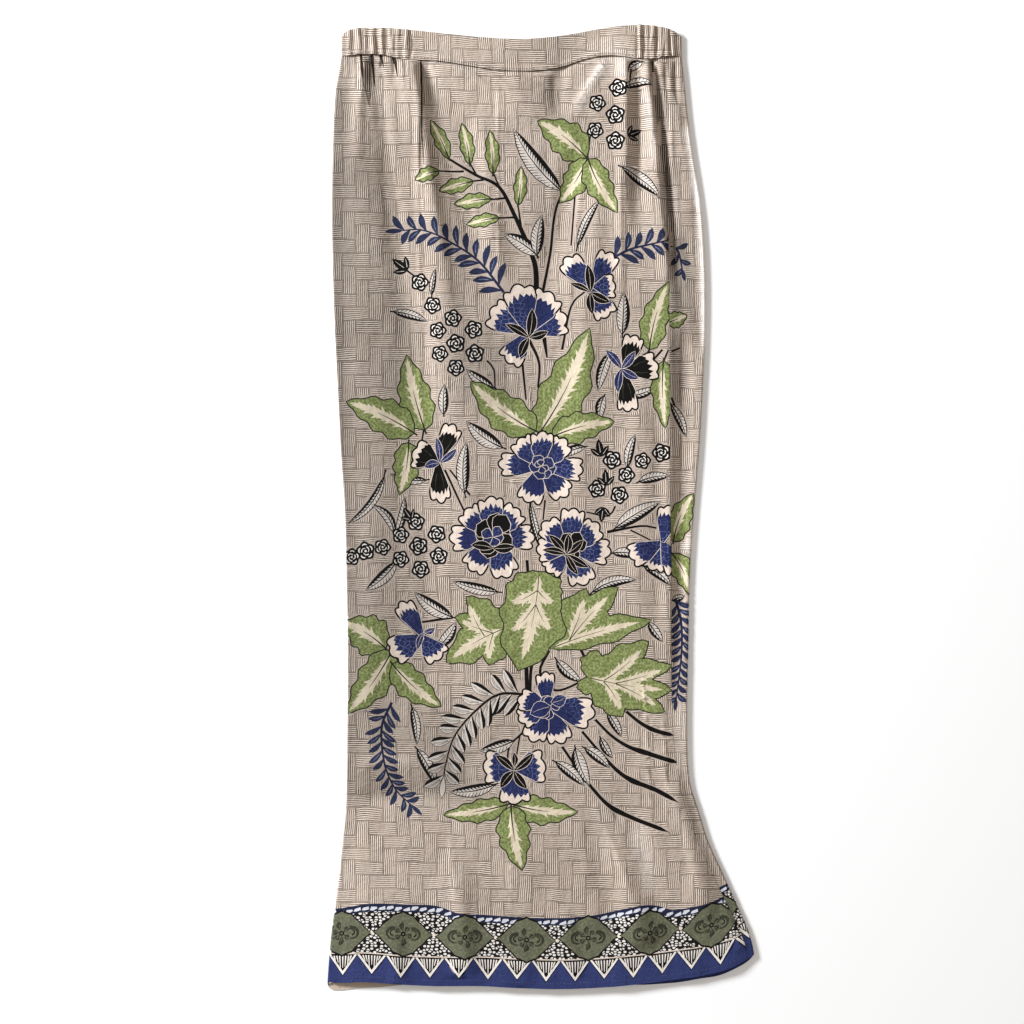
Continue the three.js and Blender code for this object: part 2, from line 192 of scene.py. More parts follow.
FOLDS = fold_table(
    # From the elastic at the left, fanning to the middle.
    (-151, 27, -154, 165, 0, 4.5, 7, 3.2, 0.14, 0.4), (-137, 27, -90, 400, 0, 6, 14, -4.2, 0.06, 0.45, 0.2),
    (-101, 27, -44, 404, 0, 8, 18, 6.2, 0.06, 0.35, 0.3), (-90, 30, 4, 354, 0, 5.5, 16, -3.6, 0.06, 0.5),
    (-34, 84, -6, 280, 0, 7, 12, 2.6, 0.2, 0.5), (2, 44, 12, 120, 0, 16, 20, 1.6, 0.2, 0.5),
    # The middle and the right, under the flat waistband's end.
    (50, 36, 44, 104, 0, 7, 9, -3.4, 0.1, 0.5), (72, 100, 20, 345, -3, 9, 16, -3.4, 0.25, 0.5),
    (97, 34, 54, 104, -2, 5, 6, 1.9, 0.14, 0.5), (94, 112, 68, 340, 0, 12, 15, 2.6, 0.25, 0.5),
    (114, 29, 114.5, 225, 0, 5, 8, 4.6, 0.06, 0.4, 0.35), (126.5, 29, 127, 245, 0, 4.5, 8, -4, 0.06, 0.4),
    (135, 28, 160, 305, 0, 6, 8, 4.6, 0.07, 0.45, 0.5), (141, 28, 172, 300, 0, 4, 5.5, -5.5, 0.05, 0.65),
    (160, 29, 192, 350, 3, 7, 8, 1.3, 0.06, 0.6, 0.2),
    # Down the body and at the hem.
    (-58, 330, -38, 640, 3, 18, 22, 2, 0.35, 0.5), (75, 250, 64, 560, 0, 13, 17, 2.6, 0.3, 0.5),
    (128, 300, 124, 690, 4, 14, 18, 2.4, 0.3, 0.6), (-128, 300, -130, 640, -3, 16, 18, 1.8, 0.3, 0.6),
    (84, 745, 134, 925, 3, 11, 16, 5, 0.5, 0.9), (66, 760, 104, 920, 3, 9, 12, -1.6, 0.3, 0.9),
    (140, 700, 196, 905, 6, 9, 14, 4.2, 0.4, 0.8), (-52, 790, -46, 950, 0, 9, 13, 3.4, 0.6, 0.98),
    (-166, 742, -40, 744, 5, 10, 12, 3.4, 0.2, 0.6, 0.2), (-160, 774, -50, 772, 4, 8, 10, -2.8, 0.2, 0.6),
    # The seam stands a little proud of the strip beside it.
    (157.5, 285, 158, 690, 0, 5, 6, 2.4, 0.1, 0.8, 0.35), (172.5, 300, 170, 650, 1, 6.5, 6, -3, 0.1, 0.75),
)
CREASES = fold_table(
    # Puckers below the elastic, left.
    (-165, 29, -164, 58, 0, 1.4, 2.4, 1.2, 0.1, 0.3), (-154, 29, -151, 96, 0, 1.6, 3, -1.5, 0.1, 0.3, 0.3),
    (-147, 29, -146, 66, 0, 1.5, 2.6, 1.6, 0.1, 0.4), (-141, 28, -138, 52, 0, 1.2, 2.2, -1.8, 0.1, 0.3),
    (-131, 28, -127, 74, 0, 1.4, 2.6, -1.9, 0.1, 0.3, -0.4),
    (-118, 29, -115, 62, 0, 1.5, 2.2, -2, 0.1, 0.3, 0.2), (-106, 33, -103, 84, 0, 1.4, 2.4, -1.4, 0.1, 0.3),
    (-91, 34, -90, 215, 0, 2.2, 3, -1.5, 0.06, 0.7, -0.7), (-84, 35, -81, 78, 0, 1.6, 2.6, -1, 0.1, 0.4),
    # Drag lines under the flat waistband.
    (-66, 40, -20, 66, 6, 2.2, 3.4, 1.1, 0.3, 0.6, 0.3), (-44, 44, 6, 74, 8, 2, 3.2, 0.8, 0.3, 0.6, 0.3),
    (6, 50, 38, 66, 4, 2.2, 3.2, -0.9, 0.3, 0.6), (40, 46, 44, 98, 3, 3.4, 5, -1.6, 0.2, 0.4),
    (96, 33, 52, 104, -2, 2, 2.6, 0.6, 0.1, 0.5, 0.5), (74, 130, 54, 330, -3, 2.6, 4, 1, 0.2, 0.5, -0.3),
    (108, 118, 110, 330, 0, 2.4, 4.4, 1.4, 0.2, 0.5), (38, 96, 38, 250, -6, 5, 8, -1, 0.3, 0.6),
    # Puckers below the elastic, right.
    (129, 31, 128, 60, 0, 1.4, 2, 1.4, 0.1, 0.4), (141, 32, 140, 58, 0, 1.3, 2, -1.6, 0.1, 0.3),
    (146, 31, 149, 70, 0, 1.3, 2.2, 1.3, 0.1, 0.4), (152, 32, 158, 92, 0, 1.6, 2.4, -1.6, 0.1, 0.4),
    (164, 34, 166, 88, 0, 2.4, 3.2, -3.2, 0.15, 0.4, 0.3),
    (156, 60, 172, 250, -2, 1.4, 2, 1.2, 0.1, 0.6, -0.4),
    # Ironed lines and soft breaks down the body.
    (-15, 40, -14, 280, 1, 1.4, 1.7, 0.7, 0.1, 0.7, -0.6),
    (0, 260, -2, 940, 1, 1.4, 1.8, 0.45, 0.1, 0.9, -0.6),
    (-93, 150, -92, 420, 0, 1.6, 2, 0.7, 0.2, 0.7, -0.6), (130, 640, 139, 790, 1, 1.1, 1.2, 0.8, 0.1, 0.8),
    (150, 690, 158, 800, 0, 1.1, 1.2, 0.7, 0.1, 0.8), (-111, 716, -60, 764, 2, 5, 6, -1.2, 0.3, 0.6),
    (78, 772, 122, 880, 3, 3, 3.4, 1.6, 0.3, 0.8, -0.6), (96, 770, 112, 800, 0, 3, 3, -1.4, 0.3, 0.6),
    (165, 792, 180, 862, 0, 4, 6, -1.6, 0.3, 0.7), (-62, 800, -56, 884, 0, 3, 4, 1.3, 0.3, 0.7, -0.4),
    (-150, 740, -96, 756, 3, 4, 5, -0.9, 0.3, 0.6), (-140, 560, -100, 590, 3, 6, 8, 0.8, 0.3, 0.6),
    (60, 868, 76, 956, 0, 5, 8, -1.2, 0.4, 0.95), (-120, 880, -112, 958, 0, 7, 9, 1.6, 0.5, 0.97),
    (206, 868, 232, 925, 0, 4, 6, 2.2, 0.5, 0.9), (8, 900, 14, 960, 0, 6, 9, 1.1, 0.5, 0.97),
)


def folded(folds, x, down):
    """The height that the folds of a table add at each place."""
    total = np.zeros(np.shape(x))
    for row in zip(*folds.values()):
        fold = dict(zip(folds, row))
        run, drop = fold["tox"] - fold["x"], fold["todown"] - fold["down"]
        length = math.hypot(run, drop)
        from_x, from_down = x - fold["x"], down - fold["down"]
        t = (from_x * run + from_down * drop) / length**2
        on = np.flatnonzero((t > 0) & (t < 1))
        t = t[on]
        off = (from_x[on] * drop - from_down[on] * run) / length - fold["bow"] * 4 * t * (1 - t)
        wide = blend(fold["wide"], fold["towide"], t) * (1 - fold["lean"] * np.sign(off))
        swell = ease(t, 0, fold["rise"]) * (1 - ease(t, fold["fall"], 1))
        total[on] += fold["high"] * swell * np.exp(-((off / wide) ** 2))
    return total


print("folds:", len(FOLDS["x"]), "creases:", len(CREASES["x"]))

# %% [markdown]
# ## Painted shade and painted highlights
# Soft bands of painted shade and painted highlight darken the cloth between its folds and where it
# turns from the light, and lighten it where it faces the light. They are rows of the same kind as the
# folds, so that one function works out either: the height of a row is how much lighter it is painted.

# %% Painted shade and painted highlights
PAINTED_LIGHT_BANDS = fold_table(  # where each band of painted light runs, its half width, and how much lighter it paints the cloth, negative for painted shade
    # Painted shade over the whole left side, and over the top and the shoulders of its gathers.
    (-168, 60, -160, 800, 0, 62, 62, -0.34, 0.12, 0.93), (-176, 20, -172, 860, 0, 13, 13, -0.2, 0.1, 0.9),
    (-172, 8, -168, 110, 0, 16, 16, -0.2, 0.1, 0.6), (-124, 60, -116, 760, 0, 30, 30, -0.1, 0.15, 0.85),
    # Painted shade and painted highlights down the middle.
    (-54, 170, -50, 430, 0, 18, 18, -0.14, 0.25, 0.75), (-20, 250, 0, 420, 0, 26, 26, -0.25, 0.4, 0.6),
    (-60, 700, -60, 790, 0, 40, 40, -0.14, 0.3, 0.7), (-72, 660, -62, 790, 0, 18, 18, -0.24, 0.3, 0.7),
    (-6, 650, -2, 750, 0, 14, 14, -0.14, 0.25, 0.75), (46, 2, 46, 50, 0, 18, 18, -0.2, 0.3, 0.7),
    (36, 50, 56, 112, 0, 15, 15, -0.22, 0.1, 0.7), (-101, 34, -100, 150, 0, 4.5, 4.5, -0.34, 0.1, 0.6),
    (-171, 48, -169, 124, 0, 9, 9, -0.16, 0.2, 0.7), (88, 4, 130, 70, 0, 22, 30, 0.24, 0.2, 0.7),
    (80, 120, 86, 215, 0, 18, 18, 0.13, 0.3, 0.7), (86, 750, 90, 815, 0, 11, 11, -0.16, 0.3, 0.7),
    (122, 780, 140, 880, 0, 15, 15, 0.3, 0.3, 0.8), (96, 34, 56, 106, -2, 5, 6, 0.38, 0.14, 0.6),
    (-10, 196, 6, 300, 0, 15, 15, -0.17, 0.2, 0.8), (-112, 250, -112, 410, 0, 17, 17, -0.18, 0.3, 0.7),
    (-8, 340, -6, 490, 0, 5, 5, -0.16, 0.3, 0.7), (134, 54, 147, 160, 0, 5, 6, 0.36, 0.2, 0.7),
    (-86, 50, -20, 196, 0, 8, 12, -0.27, 0.1, 0.8), (24, 110, 36, 240, 0, 13, 13, -0.14, 0.2, 0.8),
    (-84, 225, -76, 405, 0, 10, 10, 0.26, 0.2, 0.8), (-44, 290, -42, 395, 0, 14, 14, -0.14, 0.3, 0.7),
    (-131, 34, -127, 112, 0, 8, 8, -0.2, 0.1, 0.7), (-97, 36, -92, 200, 0, 5, 6, 0.2, 0.1, 0.8),
    (-60, 44, -16, 190, 0, 11, 13, 0.12, 0.2, 0.8), (-20, 300, -18, 400, 0, 12, 12, -0.14, 0.3, 0.7),
    (-20, 410, -18, 510, 0, 10, 10, -0.14, 0.3, 0.7), (-92, 490, -92, 690, 0, 8, 8, -0.18, 0.2, 0.8),
    (100, 150, 100, 262, 0, 8, 8, 0.16, 0.2, 0.8),
    # Painted shade beside the seam, and painted highlights along the right edge.
    (160, 120, 165, 300, 0, 6, 6, -0.22, 0.2, 0.8), (168, 205, 188, 340, 0, 5, 4, -0.24, 0.1, 0.7),
    (165, 190, 166, 400, 0, 9, 8, -0.34, 0.15, 0.8), (186, 140, 194, 350, 0, 5, 5, 0.65, 0.2, 0.8),
    (174, 90, 187, 190, 0, 7, 7, 0.5, 0.2, 0.7), (143, 44, 163, 220, 0, 4.5, 4.5, -0.4, 0.1, 0.6),
    (186, 320, 180, 560, 0, 6, 6, 0.2, 0.2, 0.8), (174, 480, 166, 780, 0, 8, 8, 0.3, 0.15, 0.85),
)
# The bands of painted shade and painted highlight.
print("bands of dye:", len(PAINTED_LIGHT_BANDS["x"]))

# %% The level of the cloth
EDGE_RADIUS = 1.9  # of the folded edges
ROUND_EDGE = math.pi * EDGE_RADIUS  # the way round one
LOFT, LOFT_REACH = 2.4, 26.0  # how far the front stands above those edges, and how soon
FOLD_START = 9.0  # folds die out this near a folded edge
LOWEST_TOP = 2.8  # clear of the back, under the deepest trough
SOFT_STOP = 0.16  # how softly a trough bottoms out there
SEAM_DIP, SEAM_DIP_REACH = 2.2, 3.0  # where the waist seam pulls the cloth in
SLACK = table(  # slow waves of cloth that was never quite flat
    "length_x length_down phase high",
    (61, 410, 0.4, 0.22), (37, -160, 2.1, 0.16), (-83, 97, 4.0, 0.18), (23, 71, 1.2, 0.08),
    (140, -52, 5.1, 0.12),
)


def slack(x, down):
    waves = zip(*SLACK.values())
    return sum(h * np.sin(2 * math.pi * (x / lx + down / ld) + p) for lx, ld, p, h in waves)


def from_edge(x, down):
    """How far in from the nearer folded edge a place lies."""
    return np.minimum(x - side("left", down), side("right", down) - x) - EDGE_RADIUS


def panel_top(x, down):
    inset = from_edge(x, down)
    level = 2 * EDGE_RADIUS + LOFT * ease(inset, 0, LOFT_REACH)
    fine = folded(FOLDS, x, down) + folded(CREASES, x, down) + slack(x, down)
    below_band = down - cut_edge(BAND_LOW, x)
    level = level - SEAM_DIP * np.exp(-((below_band / SEAM_DIP_REACH) ** 2)) * ease(inset, 0, FOLD_START)
    spare = level + fine * ease(inset, 0, FOLD_START) - LOWEST_TOP
    return LOWEST_TOP + (spare + np.sqrt(spare**2 + SOFT_STOP)) / 2


print("front level at the middle:", panel_top(np.array([0.0]), np.array([500.0])).round(2), "mm")

# %% [markdown]
# ## Laying the cloth
# A place on a panel is named by its own flat measure: s across the cloth and how far down. Where
# s passes a folded edge, the cloth turns half a circle and runs on underneath. So the print turns
# round the edge with the cloth, as it does on a real tube.

# %% From the flat cloth to its place
SLOPE_STEP = 0.3  # mm, for measuring which way the cloth faces
OUTWARD = {"left": -1, "right": 1}
BACK_GATHERS = fold_table(
    (-150, 31, -146, 150, 0, 4, 8, 1.2, 0.05, 0.3), (-128, 31, -132, 120, 0, 3, 6, 1.0, 0.05, 0.3),
    (-104, 31, -96, 180, 0, 4, 9, 1.3, 0.05, 0.3), (-82, 31, -84, 110, 0, 3, 6, 0.9, 0.05, 0.3),
    (-60, 31, -52, 200, 0, 4, 9, 1.2, 0.05, 0.3), (-37, 31, -40, 130, 0, 3, 7, 1.0, 0.05, 0.3),
    (-14, 31, -8, 170, 0, 4, 8, 1.3, 0.05, 0.3), (11, 31, 12, 120, 0, 3, 6, 1.0, 0.05, 0.3),
    (34, 31, 42, 210, 0, 4, 9, 1.2, 0.05, 0.3), (57, 31, 54, 130, 0, 3, 6, 1.0, 0.05, 0.3),
    (80, 31, 88, 180, 0, 4, 9, 1.3, 0.05, 0.3), (103, 31, 104, 120, 0, 3, 6, 0.9, 0.05, 0.3),
    (128, 31, 138, 190, 0, 4, 9, 1.2, 0.05, 0.3), (150, 31, 154, 110, 0, 3, 6, 0.8, 0.05, 0.3),
    (-70, 420, -40, 780, 4, 9, 12, 0.8, 0.3, 0.7), (60, 360, 40, 700, -5, 9, 12, 0.9, 0.3, 0.7),
    (110, 700, 170, 900, 5, 8, 12, 1.1, 0.3, 0.8), (-120, 760, -20, 800, 6, 6, 8, 0.7, 0.3, 0.7),
)


def unit(vectors):
    """Vectors brought to length 1."""
    return vectors / np.maximum(np.linalg.norm(vectors, axis=-1, keepdims=True), 1e-9)


def slope_of(height, x, down):
    """The unit direction that a surface faces, from its height."""
    across = (height(x + SLOPE_STEP, down) - height(x - SLOPE_STEP, down)) / (2 * SLOPE_STEP)
    along = (height(x, down + SLOPE_STEP) - height(x, down - SLOPE_STEP)) / (2 * SLOPE_STEP)
    return unit(np.stack([-across, along, np.ones_like(across)], -1))


def under_height(x, down):
    """Soft troughs pressed up into the cloth that lies underneath."""
    inset = from_edge(x, down)
    return np.clip(folded(BACK_GATHERS, x, down), 0, None) * ease(inset, 0, FOLD_START)


def fold_line(edge_name, down):
    """Where across the cloth starts to turn under."""
    return side(edge_name, down) - OUTWARD[edge_name] * EDGE_RADIUS


def round_edge(s, down, edge_name):
    """How far s is past the fold line, the angle turned, how far it is past that, and its x."""
    outward, line = OUTWARD[edge_name], fold_line(edge_name, down)
    over = (s - line) * outward
    turn = np.clip(over / EDGE_RADIUS, 0, math.pi)
    past = np.clip(over - ROUND_EDGE, 0, None)
    return over, turn, past, np.where(over < 0, s, line + outward * (EDGE_RADIUS * np.sin(turn) - past))


def lay(flat, edge_name):
    """Places and directions of a panel that turns under at one folded edge."""
    s, down = flat[:, 0], flat[:, 1]
    over, turn, past, x = round_edge(s, down, edge_name)
    pick = [over < 0, past > 0]
    heights = [panel_top(x, down), under_height(x, down)]
    z = np.select(pick, heights, EDGE_RADIUS * (1 + np.cos(turn)))
    facing = [slope_of(panel_top, x, down), -slope_of(under_height, x, down)]
    facing_edge = np.stack([OUTWARD[edge_name] * np.sin(turn), 0 * turn, np.cos(turn)], -1)
    return np.stack([x, -down, z], -1), np.select([p[:, None] for p in pick], facing, facing_edge)


def lay_front(flat):
    return lay(flat, "left")


def lay_back(flat):
    return lay(flat, "right")


print("just past the left edge:", lay_front(np.array([[-181.0, 300.0]]))[0].round(1), "mm")

# %% [markdown]
# ## Drawing the print
# Batik is drawn with wax: dark outlines, flat fills and fine hatching. The print here is made the
# same way, as plain outlines in painter's order, each with the ink that fills it. Places on the
# layout are measured from a corner of the drawing table, left of the skirt and above it.

# %% Inks and the drawing's own tools
INKS = table(  # display colours, and how the dye took: a mat of lines, crackle, stipple, pebbles
    "red green blue mat crackle stipple pebble",
    (188, 169, 154, 1, 0, 0, 0),  # ground
    (180, 164, 152, 0, 0, 0, 0),  # plain ground round a motif
    (8, 5, 4, 0, 0, 0, 0),  # black
    (225, 208, 194, 0, 0, 0, 0),  # cream
    (209, 199, 190, 0, 0, 0, 0),  # pale
    (37, 44, 86, 0, 1, 0, 0),  # petal blue
    (37, 43, 68, 0, 0.25, 0, 0),  # navy
    (127, 136, 82, 0, 0, 1, 0),  # leaf green
    (52, 56, 32, 0, 0, 0.3, 0),  # dark green
    (99, 98, 83, 0, 0, 0.35, 0),  # olive
    (46, 55, 102, 0, 0.12, 0, 0),  # hem blue
    (20, 17, 15, 0, 0, 0, 1),  # black with pebbles
    (50, 51, 41, 0, 0, 0.1, 0),  # dark olive
    (30, 35, 62, 0, 0, 0, 0),  # border line
    (197, 180, 164, 0, 0, 0, 0),  # reverse
    (220, 205, 181, 0, 0, 0.15, 0),  # leaf cream
    (38, 40, 28, 0, 0, 0, 0),  # leaf outline
    (122, 130, 158, 0, 0, 0, 0),  # fern vein
    (233, 225, 217, 0, 0, 0, 0),  # white
    (20, 25, 62, 0, 0, 0, 0),  # deep blue
    (212, 213, 219, 0, 0, 0, 0),  # pale blue
    (96, 81, 69, 1, 0, 0, 0),  # painted shadow: the ground dark where a tuck lies out of the light
    (38, 31, 26, 0, 0, 0, 0),  # painted deep shadow: the darkest line of a tuck
)
(GROUND, PLAIN, BLACK, CREAM, PALE, BLUE, NAVY, GREEN, DARK_GREEN, OLIVE, HEM_BLUE, PEBBLED,
 DARK_OLIVE, BORDER_LINE, REVERSE, LEAF_CREAM, LEAF_LINE, FERN_LIGHT, WHITE,
 DEEP_BLUE, PALE_BLUE, PAINTED_TUCK_SHADOW, PAINTED_DEEP_SHADOW) = range(len(INKS["red"]))
DISPLAY_TOE = 0.04045  # below it, display colours are in proportion to light
LAYOUT_CORNER = np.array([-511.5, -26.0])  # of the drawing table, from the waist's centre line
OUTLINE = 1.25  # width of a drawn outline, mm
FINE = 0.45  # width of a fine line, mm
KNOT_HIGH, KNOT_AT, KNOT_REACH = 1.3, 0.58, 0.05  # the thick place in a long brush stroke
print("inks:", len(INKS["red"]))


def linear(display):
    """Display colours, 0 to 1, as the linear values that a shader takes."""
    return np.where(display <= DISPLAY_TOE, display / 12.92, ((display + 0.055) / 1.055) ** 2.4)

# %% Lines and strokes
def smooth(points, step):
    """A smooth line through a few points, with a point about every step."""
    p = np.array(points, float)
    p = np.vstack([2 * p[0] - p[1], p, 2 * p[-1] - p[-2]])
    line = []
    for a, b, c, d in zip(p, p[1:], p[2:], p[3:]):
        count = max(int(np.hypot(*(c - b)) / step), 1)
        t = (np.arange(count) / count)[:, None]
        line.append(0.5 * (2 * b + (c - a) * t + (2 * a - 5 * b + 4 * c - d) * t**2
                           + (3 * b - a - 3 * c + d) * t**3))
    return np.vstack([*line, p[-2]])


def sideways(line):
    """Unit directions square to a line, at each of its points."""
    along = unit(np.gradient(line, axis=0))
    return np.stack([-along[:, 1], along[:, 0]], -1)


def stroke(line, start, end=None):
    """The outline of a stroke along a line. Its width is even, tapers, or is given for each point."""
    line = np.asarray(line, float)
    wide = start if np.ndim(start) else np.linspace(start, start if end is None else end, len(line))
    off = sideways(line) * wide[:, None] / 2
    return np.vstack([line + off, (line - off)[::-1]])


def brush(line, thin, thick):
    """A brush stroke that swells, is thickest at a knot, and lifts off in a point."""
    line = smooth(line, 4.0)
    t = np.linspace(0, 1, len(line))
    knot = KNOT_HIGH * np.exp(-(((t - KNOT_AT) / KNOT_REACH) ** 2))
    return stroke(line, (blend(thin, thick, ease(t, 0.1, 0.7)) + knot) * (1 - 0.96 * ease(t, 0.9, 1.0)))


def swell(outline, by):
    """An outline moved outwards."""
    ahead, behind = np.roll(outline, -1, 0), np.roll(outline, 1, 0)
    along = unit(ahead - behind)
    out = np.stack([along[:, 1], -along[:, 0]], -1)
    turn = np.sum(outline[:, 0] * (ahead[:, 1] - behind[:, 1]))
    return outline + out * by * (1 if turn > 0 else -1)


def disc(x, y, radius, sides, lobes=0, depth=0.0, turn=0.0):
    """A disc, or with lobes a flower shape."""
    a = np.arange(sides) * 2 * math.pi / sides
    r = radius * (1 + depth * np.cos(lobes * a))
    return np.stack([x + r * np.cos(a + turn), y + r * np.sin(a + turn)], -1)


print("points of a brush stroke:", len(brush(((0, 0), (40, 8), (80, 0)), 3.0, 4.0)))

# %% Discs, spines and leaf shapes
class Spine:
    """A gently bent line from base to tip. at() gives points along it, moved sideways by mm."""

    def __init__(self, base, tip, bend=0.0):
        self.base, self.tip = np.array(base, float), np.array(tip, float)
        self.length = float(np.hypot(*(self.tip - self.base)))
        self.along = (self.tip - self.base) / self.length
        self.square = np.array([-self.along[1], self.along[0]])
        self.bend = bend

    def at(self, t, off=0.0):
        t, off = np.atleast_1d(t).astype(float), np.atleast_1d(off).astype(float)
        bow = self.bend * 4 * t * (1 - t) + off
        return self.base + np.outer(t * self.length, self.along) + np.outer(bow, self.square)


def lens_outline(spine, width, belly=0.45, points=7):
    """A pointed leaf shape about a spine, widest at the belly."""
    t = np.linspace(0, 1, points)
    power = math.log(0.5) / math.log(belly)
    off = width / 2 * np.sin(math.pi * t**power) ** 0.85
    return np.vstack([spine.at(t, off), spine.at(t, -off)[::-1][1:-1]])


print("points of a leaf shape:", len(lens_outline(Spine((0, 0), (30, 0)), 10)))

# %% [markdown]
# ## Leaves, quills, ferns and rosettes
# Each kind of motif is one short function. A green leaf has a toothed margin and a cream heart
# whose barbs look like a feather. A quill is a narrow leaf, half black and half pale, with fine
# teeth across it. A fern is a row of leaflets on a curved rib, and a rosette is a small rose of
# five white petals round a swirl, on black.

# %% Green leaves
WIDEST_HEART = 21  # mm
WIDE_LOBE = 23  # mm, a narrower lobe has no heart


def feather(spine, width, barbs, start=0.1, end=0.86):
    """A cream heart: a spine with barbs that slant towards the tip."""
    t = np.linspace(start, end, barbs)
    reach = width / 2 * np.sin(math.pi * (0.16 + 0.74 * (t - start) / (end - start)))
    slant = 1.15 * (end - start) / barbs
    edges = []
    for mark in (1, -1):
        uneven = 0.84 + 0.26 * np.cos(2.6 * np.arange(barbs) + width + mark)
        out = spine.at(t + slant, mark * reach * uneven)
        notch = spine.at(t + slant * 0.6, mark * (reach * 0.42 + 0.5))
        edges.append(np.stack([out, notch], 1).reshape(-1, 2))
    return np.vstack([spine.at(start - 0.06), edges[0], spine.at(end + 0.1), edges[1][::-1]])


def margin(spine, width, belly, teeth, depth):
    """A leaf's outline with soft uneven teeth and a drawn-out tip."""
    t = np.linspace(0, 1, 4 * teeth + 3)
    power = math.log(0.5) / math.log(belly)
    off = width / 2 * np.sin(math.pi * t**power) ** 0.7 * (1.06 - 0.3 * t**4)
    sides = []
    for mark in (1, -1):
        wave = np.cos(teeth * 2 * math.pi * t + mark * 0.9 + width)
        sides.append(spine.at(t + depth * 0.05 * wave, mark * off * (1 + depth * wave)))
    return np.vstack([sides[0], sides[1][::-1][1:-1]])


def green_leaf(base, tip, width, bend, belly=0.38, teeth=4, depth=0.12, heart=0.46):
    spine = Spine(base, tip, bend)
    outline = margin(spine, width, belly, teeth, depth)
    barbs = max(int(spine.length / 5.5), 5)
    rib = spine.at(np.linspace(-0.06, 0.55, 6))
    return [
        (swell(outline, OUTLINE), LEAF_LINE),
        (outline, GREEN),
        (feather(spine, width * heart, barbs), LEAF_CREAM),
        (stroke(rib, 1.9, 0.4), LEAF_LINE),
    ]


def lobed_leaf(base, lobes, hub, hub_width):
    """A broad leaf with several lobes, each with its own tip, width and bend, round a hub."""
    spines = [(Spine(base, tip, bend), width) for tip, width, bend in lobes]
    outlines = [margin(spine, width, 0.52, 3, 0.13) for spine, width in spines]
    outlines.append(disc(*hub, hub_width / 2, 14, 5, 0.08))
    shapes = [(swell(outline, OUTLINE), LEAF_LINE) for outline in outlines]
    shapes += [(outline, GREEN) for outline in outlines]
    main, main_width = spines[0]
    hearts = [(main, min(main_width * 0.5, WIDEST_HEART))]
    for i, (spine, width) in enumerate(spines[1:], 1):
        if width > WIDE_LOBE:
            root = main.at(0.04 + 0.14 * ((i + 1) // 2))[0]
            hearts.append((Spine(root, spine.tip, spine.bend), width * 0.52))
    for heart, wide in hearts:
        barbs = max(int(heart.length / 4.6), 4)
        shapes.append((feather(heart, wide, barbs, 0.08, 0.8 if heart is main else 0.72), LEAF_CREAM))
    for heart, wide in hearts:
        shapes.append((stroke(heart.at(np.linspace(0.02, 0.56, 6)), 1.1, 0.3), DARK_GREEN))
    return shapes


print("outlines of a green leaf:", len(green_leaf((0, 0), (40, 0), 24, 3)))

# %% Quills and buds
HATCH_PITCH = 3.4  # mm, between the teeth of a quill


def quill(base, tip, width, bend):
    """A narrow leaf: a black edge with teeth that reach to the rib, and a pale half with ticks."""
    spine = Spine(base, tip, bend)
    outline = lens_outline(spine, width)

    def reach_at(t):
        return width / 2 * np.sin(math.pi * t**0.87) ** 0.85

    t = np.linspace(0.05, 0.96, 7)
    crescent = np.vstack([outline[:7], spine.at(t, 0.6 * reach_at(t))[::-1]])
    shapes = [(swell(outline, 0.95), BLACK), (outline, PALE), (crescent, BLACK)]
    count = max(int(spine.length / HATCH_PITCH), 5)
    half, tick = 1.25 / spine.length, 0.62 / spine.length
    for i in range(1, count):
        t = i / count
        reach = float(reach_at(t))
        lean = 0.7 * reach / spine.length
        wide = [spine.at(t - half, 0.66 * reach), spine.at(t + half, 0.66 * reach), spine.at(t - lean, 0.2)]
        shapes.append((np.vstack(wide), BLACK))
        thin = [spine.at(t + lean - tick, -reach), spine.at(t + lean + tick, -reach), spine.at(t, -0.2)]
        shapes.append((np.vstack(thin), BLACK))
    shapes.append((stroke(spine.at(np.linspace(-0.08, 0.97, 7)), 1.5, 0.6), BLACK))
    return shapes


def bud(base, tip):
    """Three short black leaves."""
    base, way = np.array(base, float), np.array(tip, float) - base
    shapes = []
    for turn, size in ((-0.75, 0.8), (0.75, 0.8), (0.0, 1.05)):
        turned = np.array([way[0] * math.cos(turn) - way[1] * math.sin(turn),
                           way[0] * math.sin(turn) + way[1] * math.cos(turn)]) * size
        spine = Spine(base, base + turned)
        shapes.append((lens_outline(spine, spine.length * 0.42, 0.5, 6), BLACK))
        shapes.append((stroke(spine.at([0.25, 0.8]), 0.6, 0.3), PALE))
    return shapes


print("outlines of a quill:", len(quill((0, 0), (40, 0), 10, 2)), "and of a bud:", len(bud((0, 0), (14, 0))))

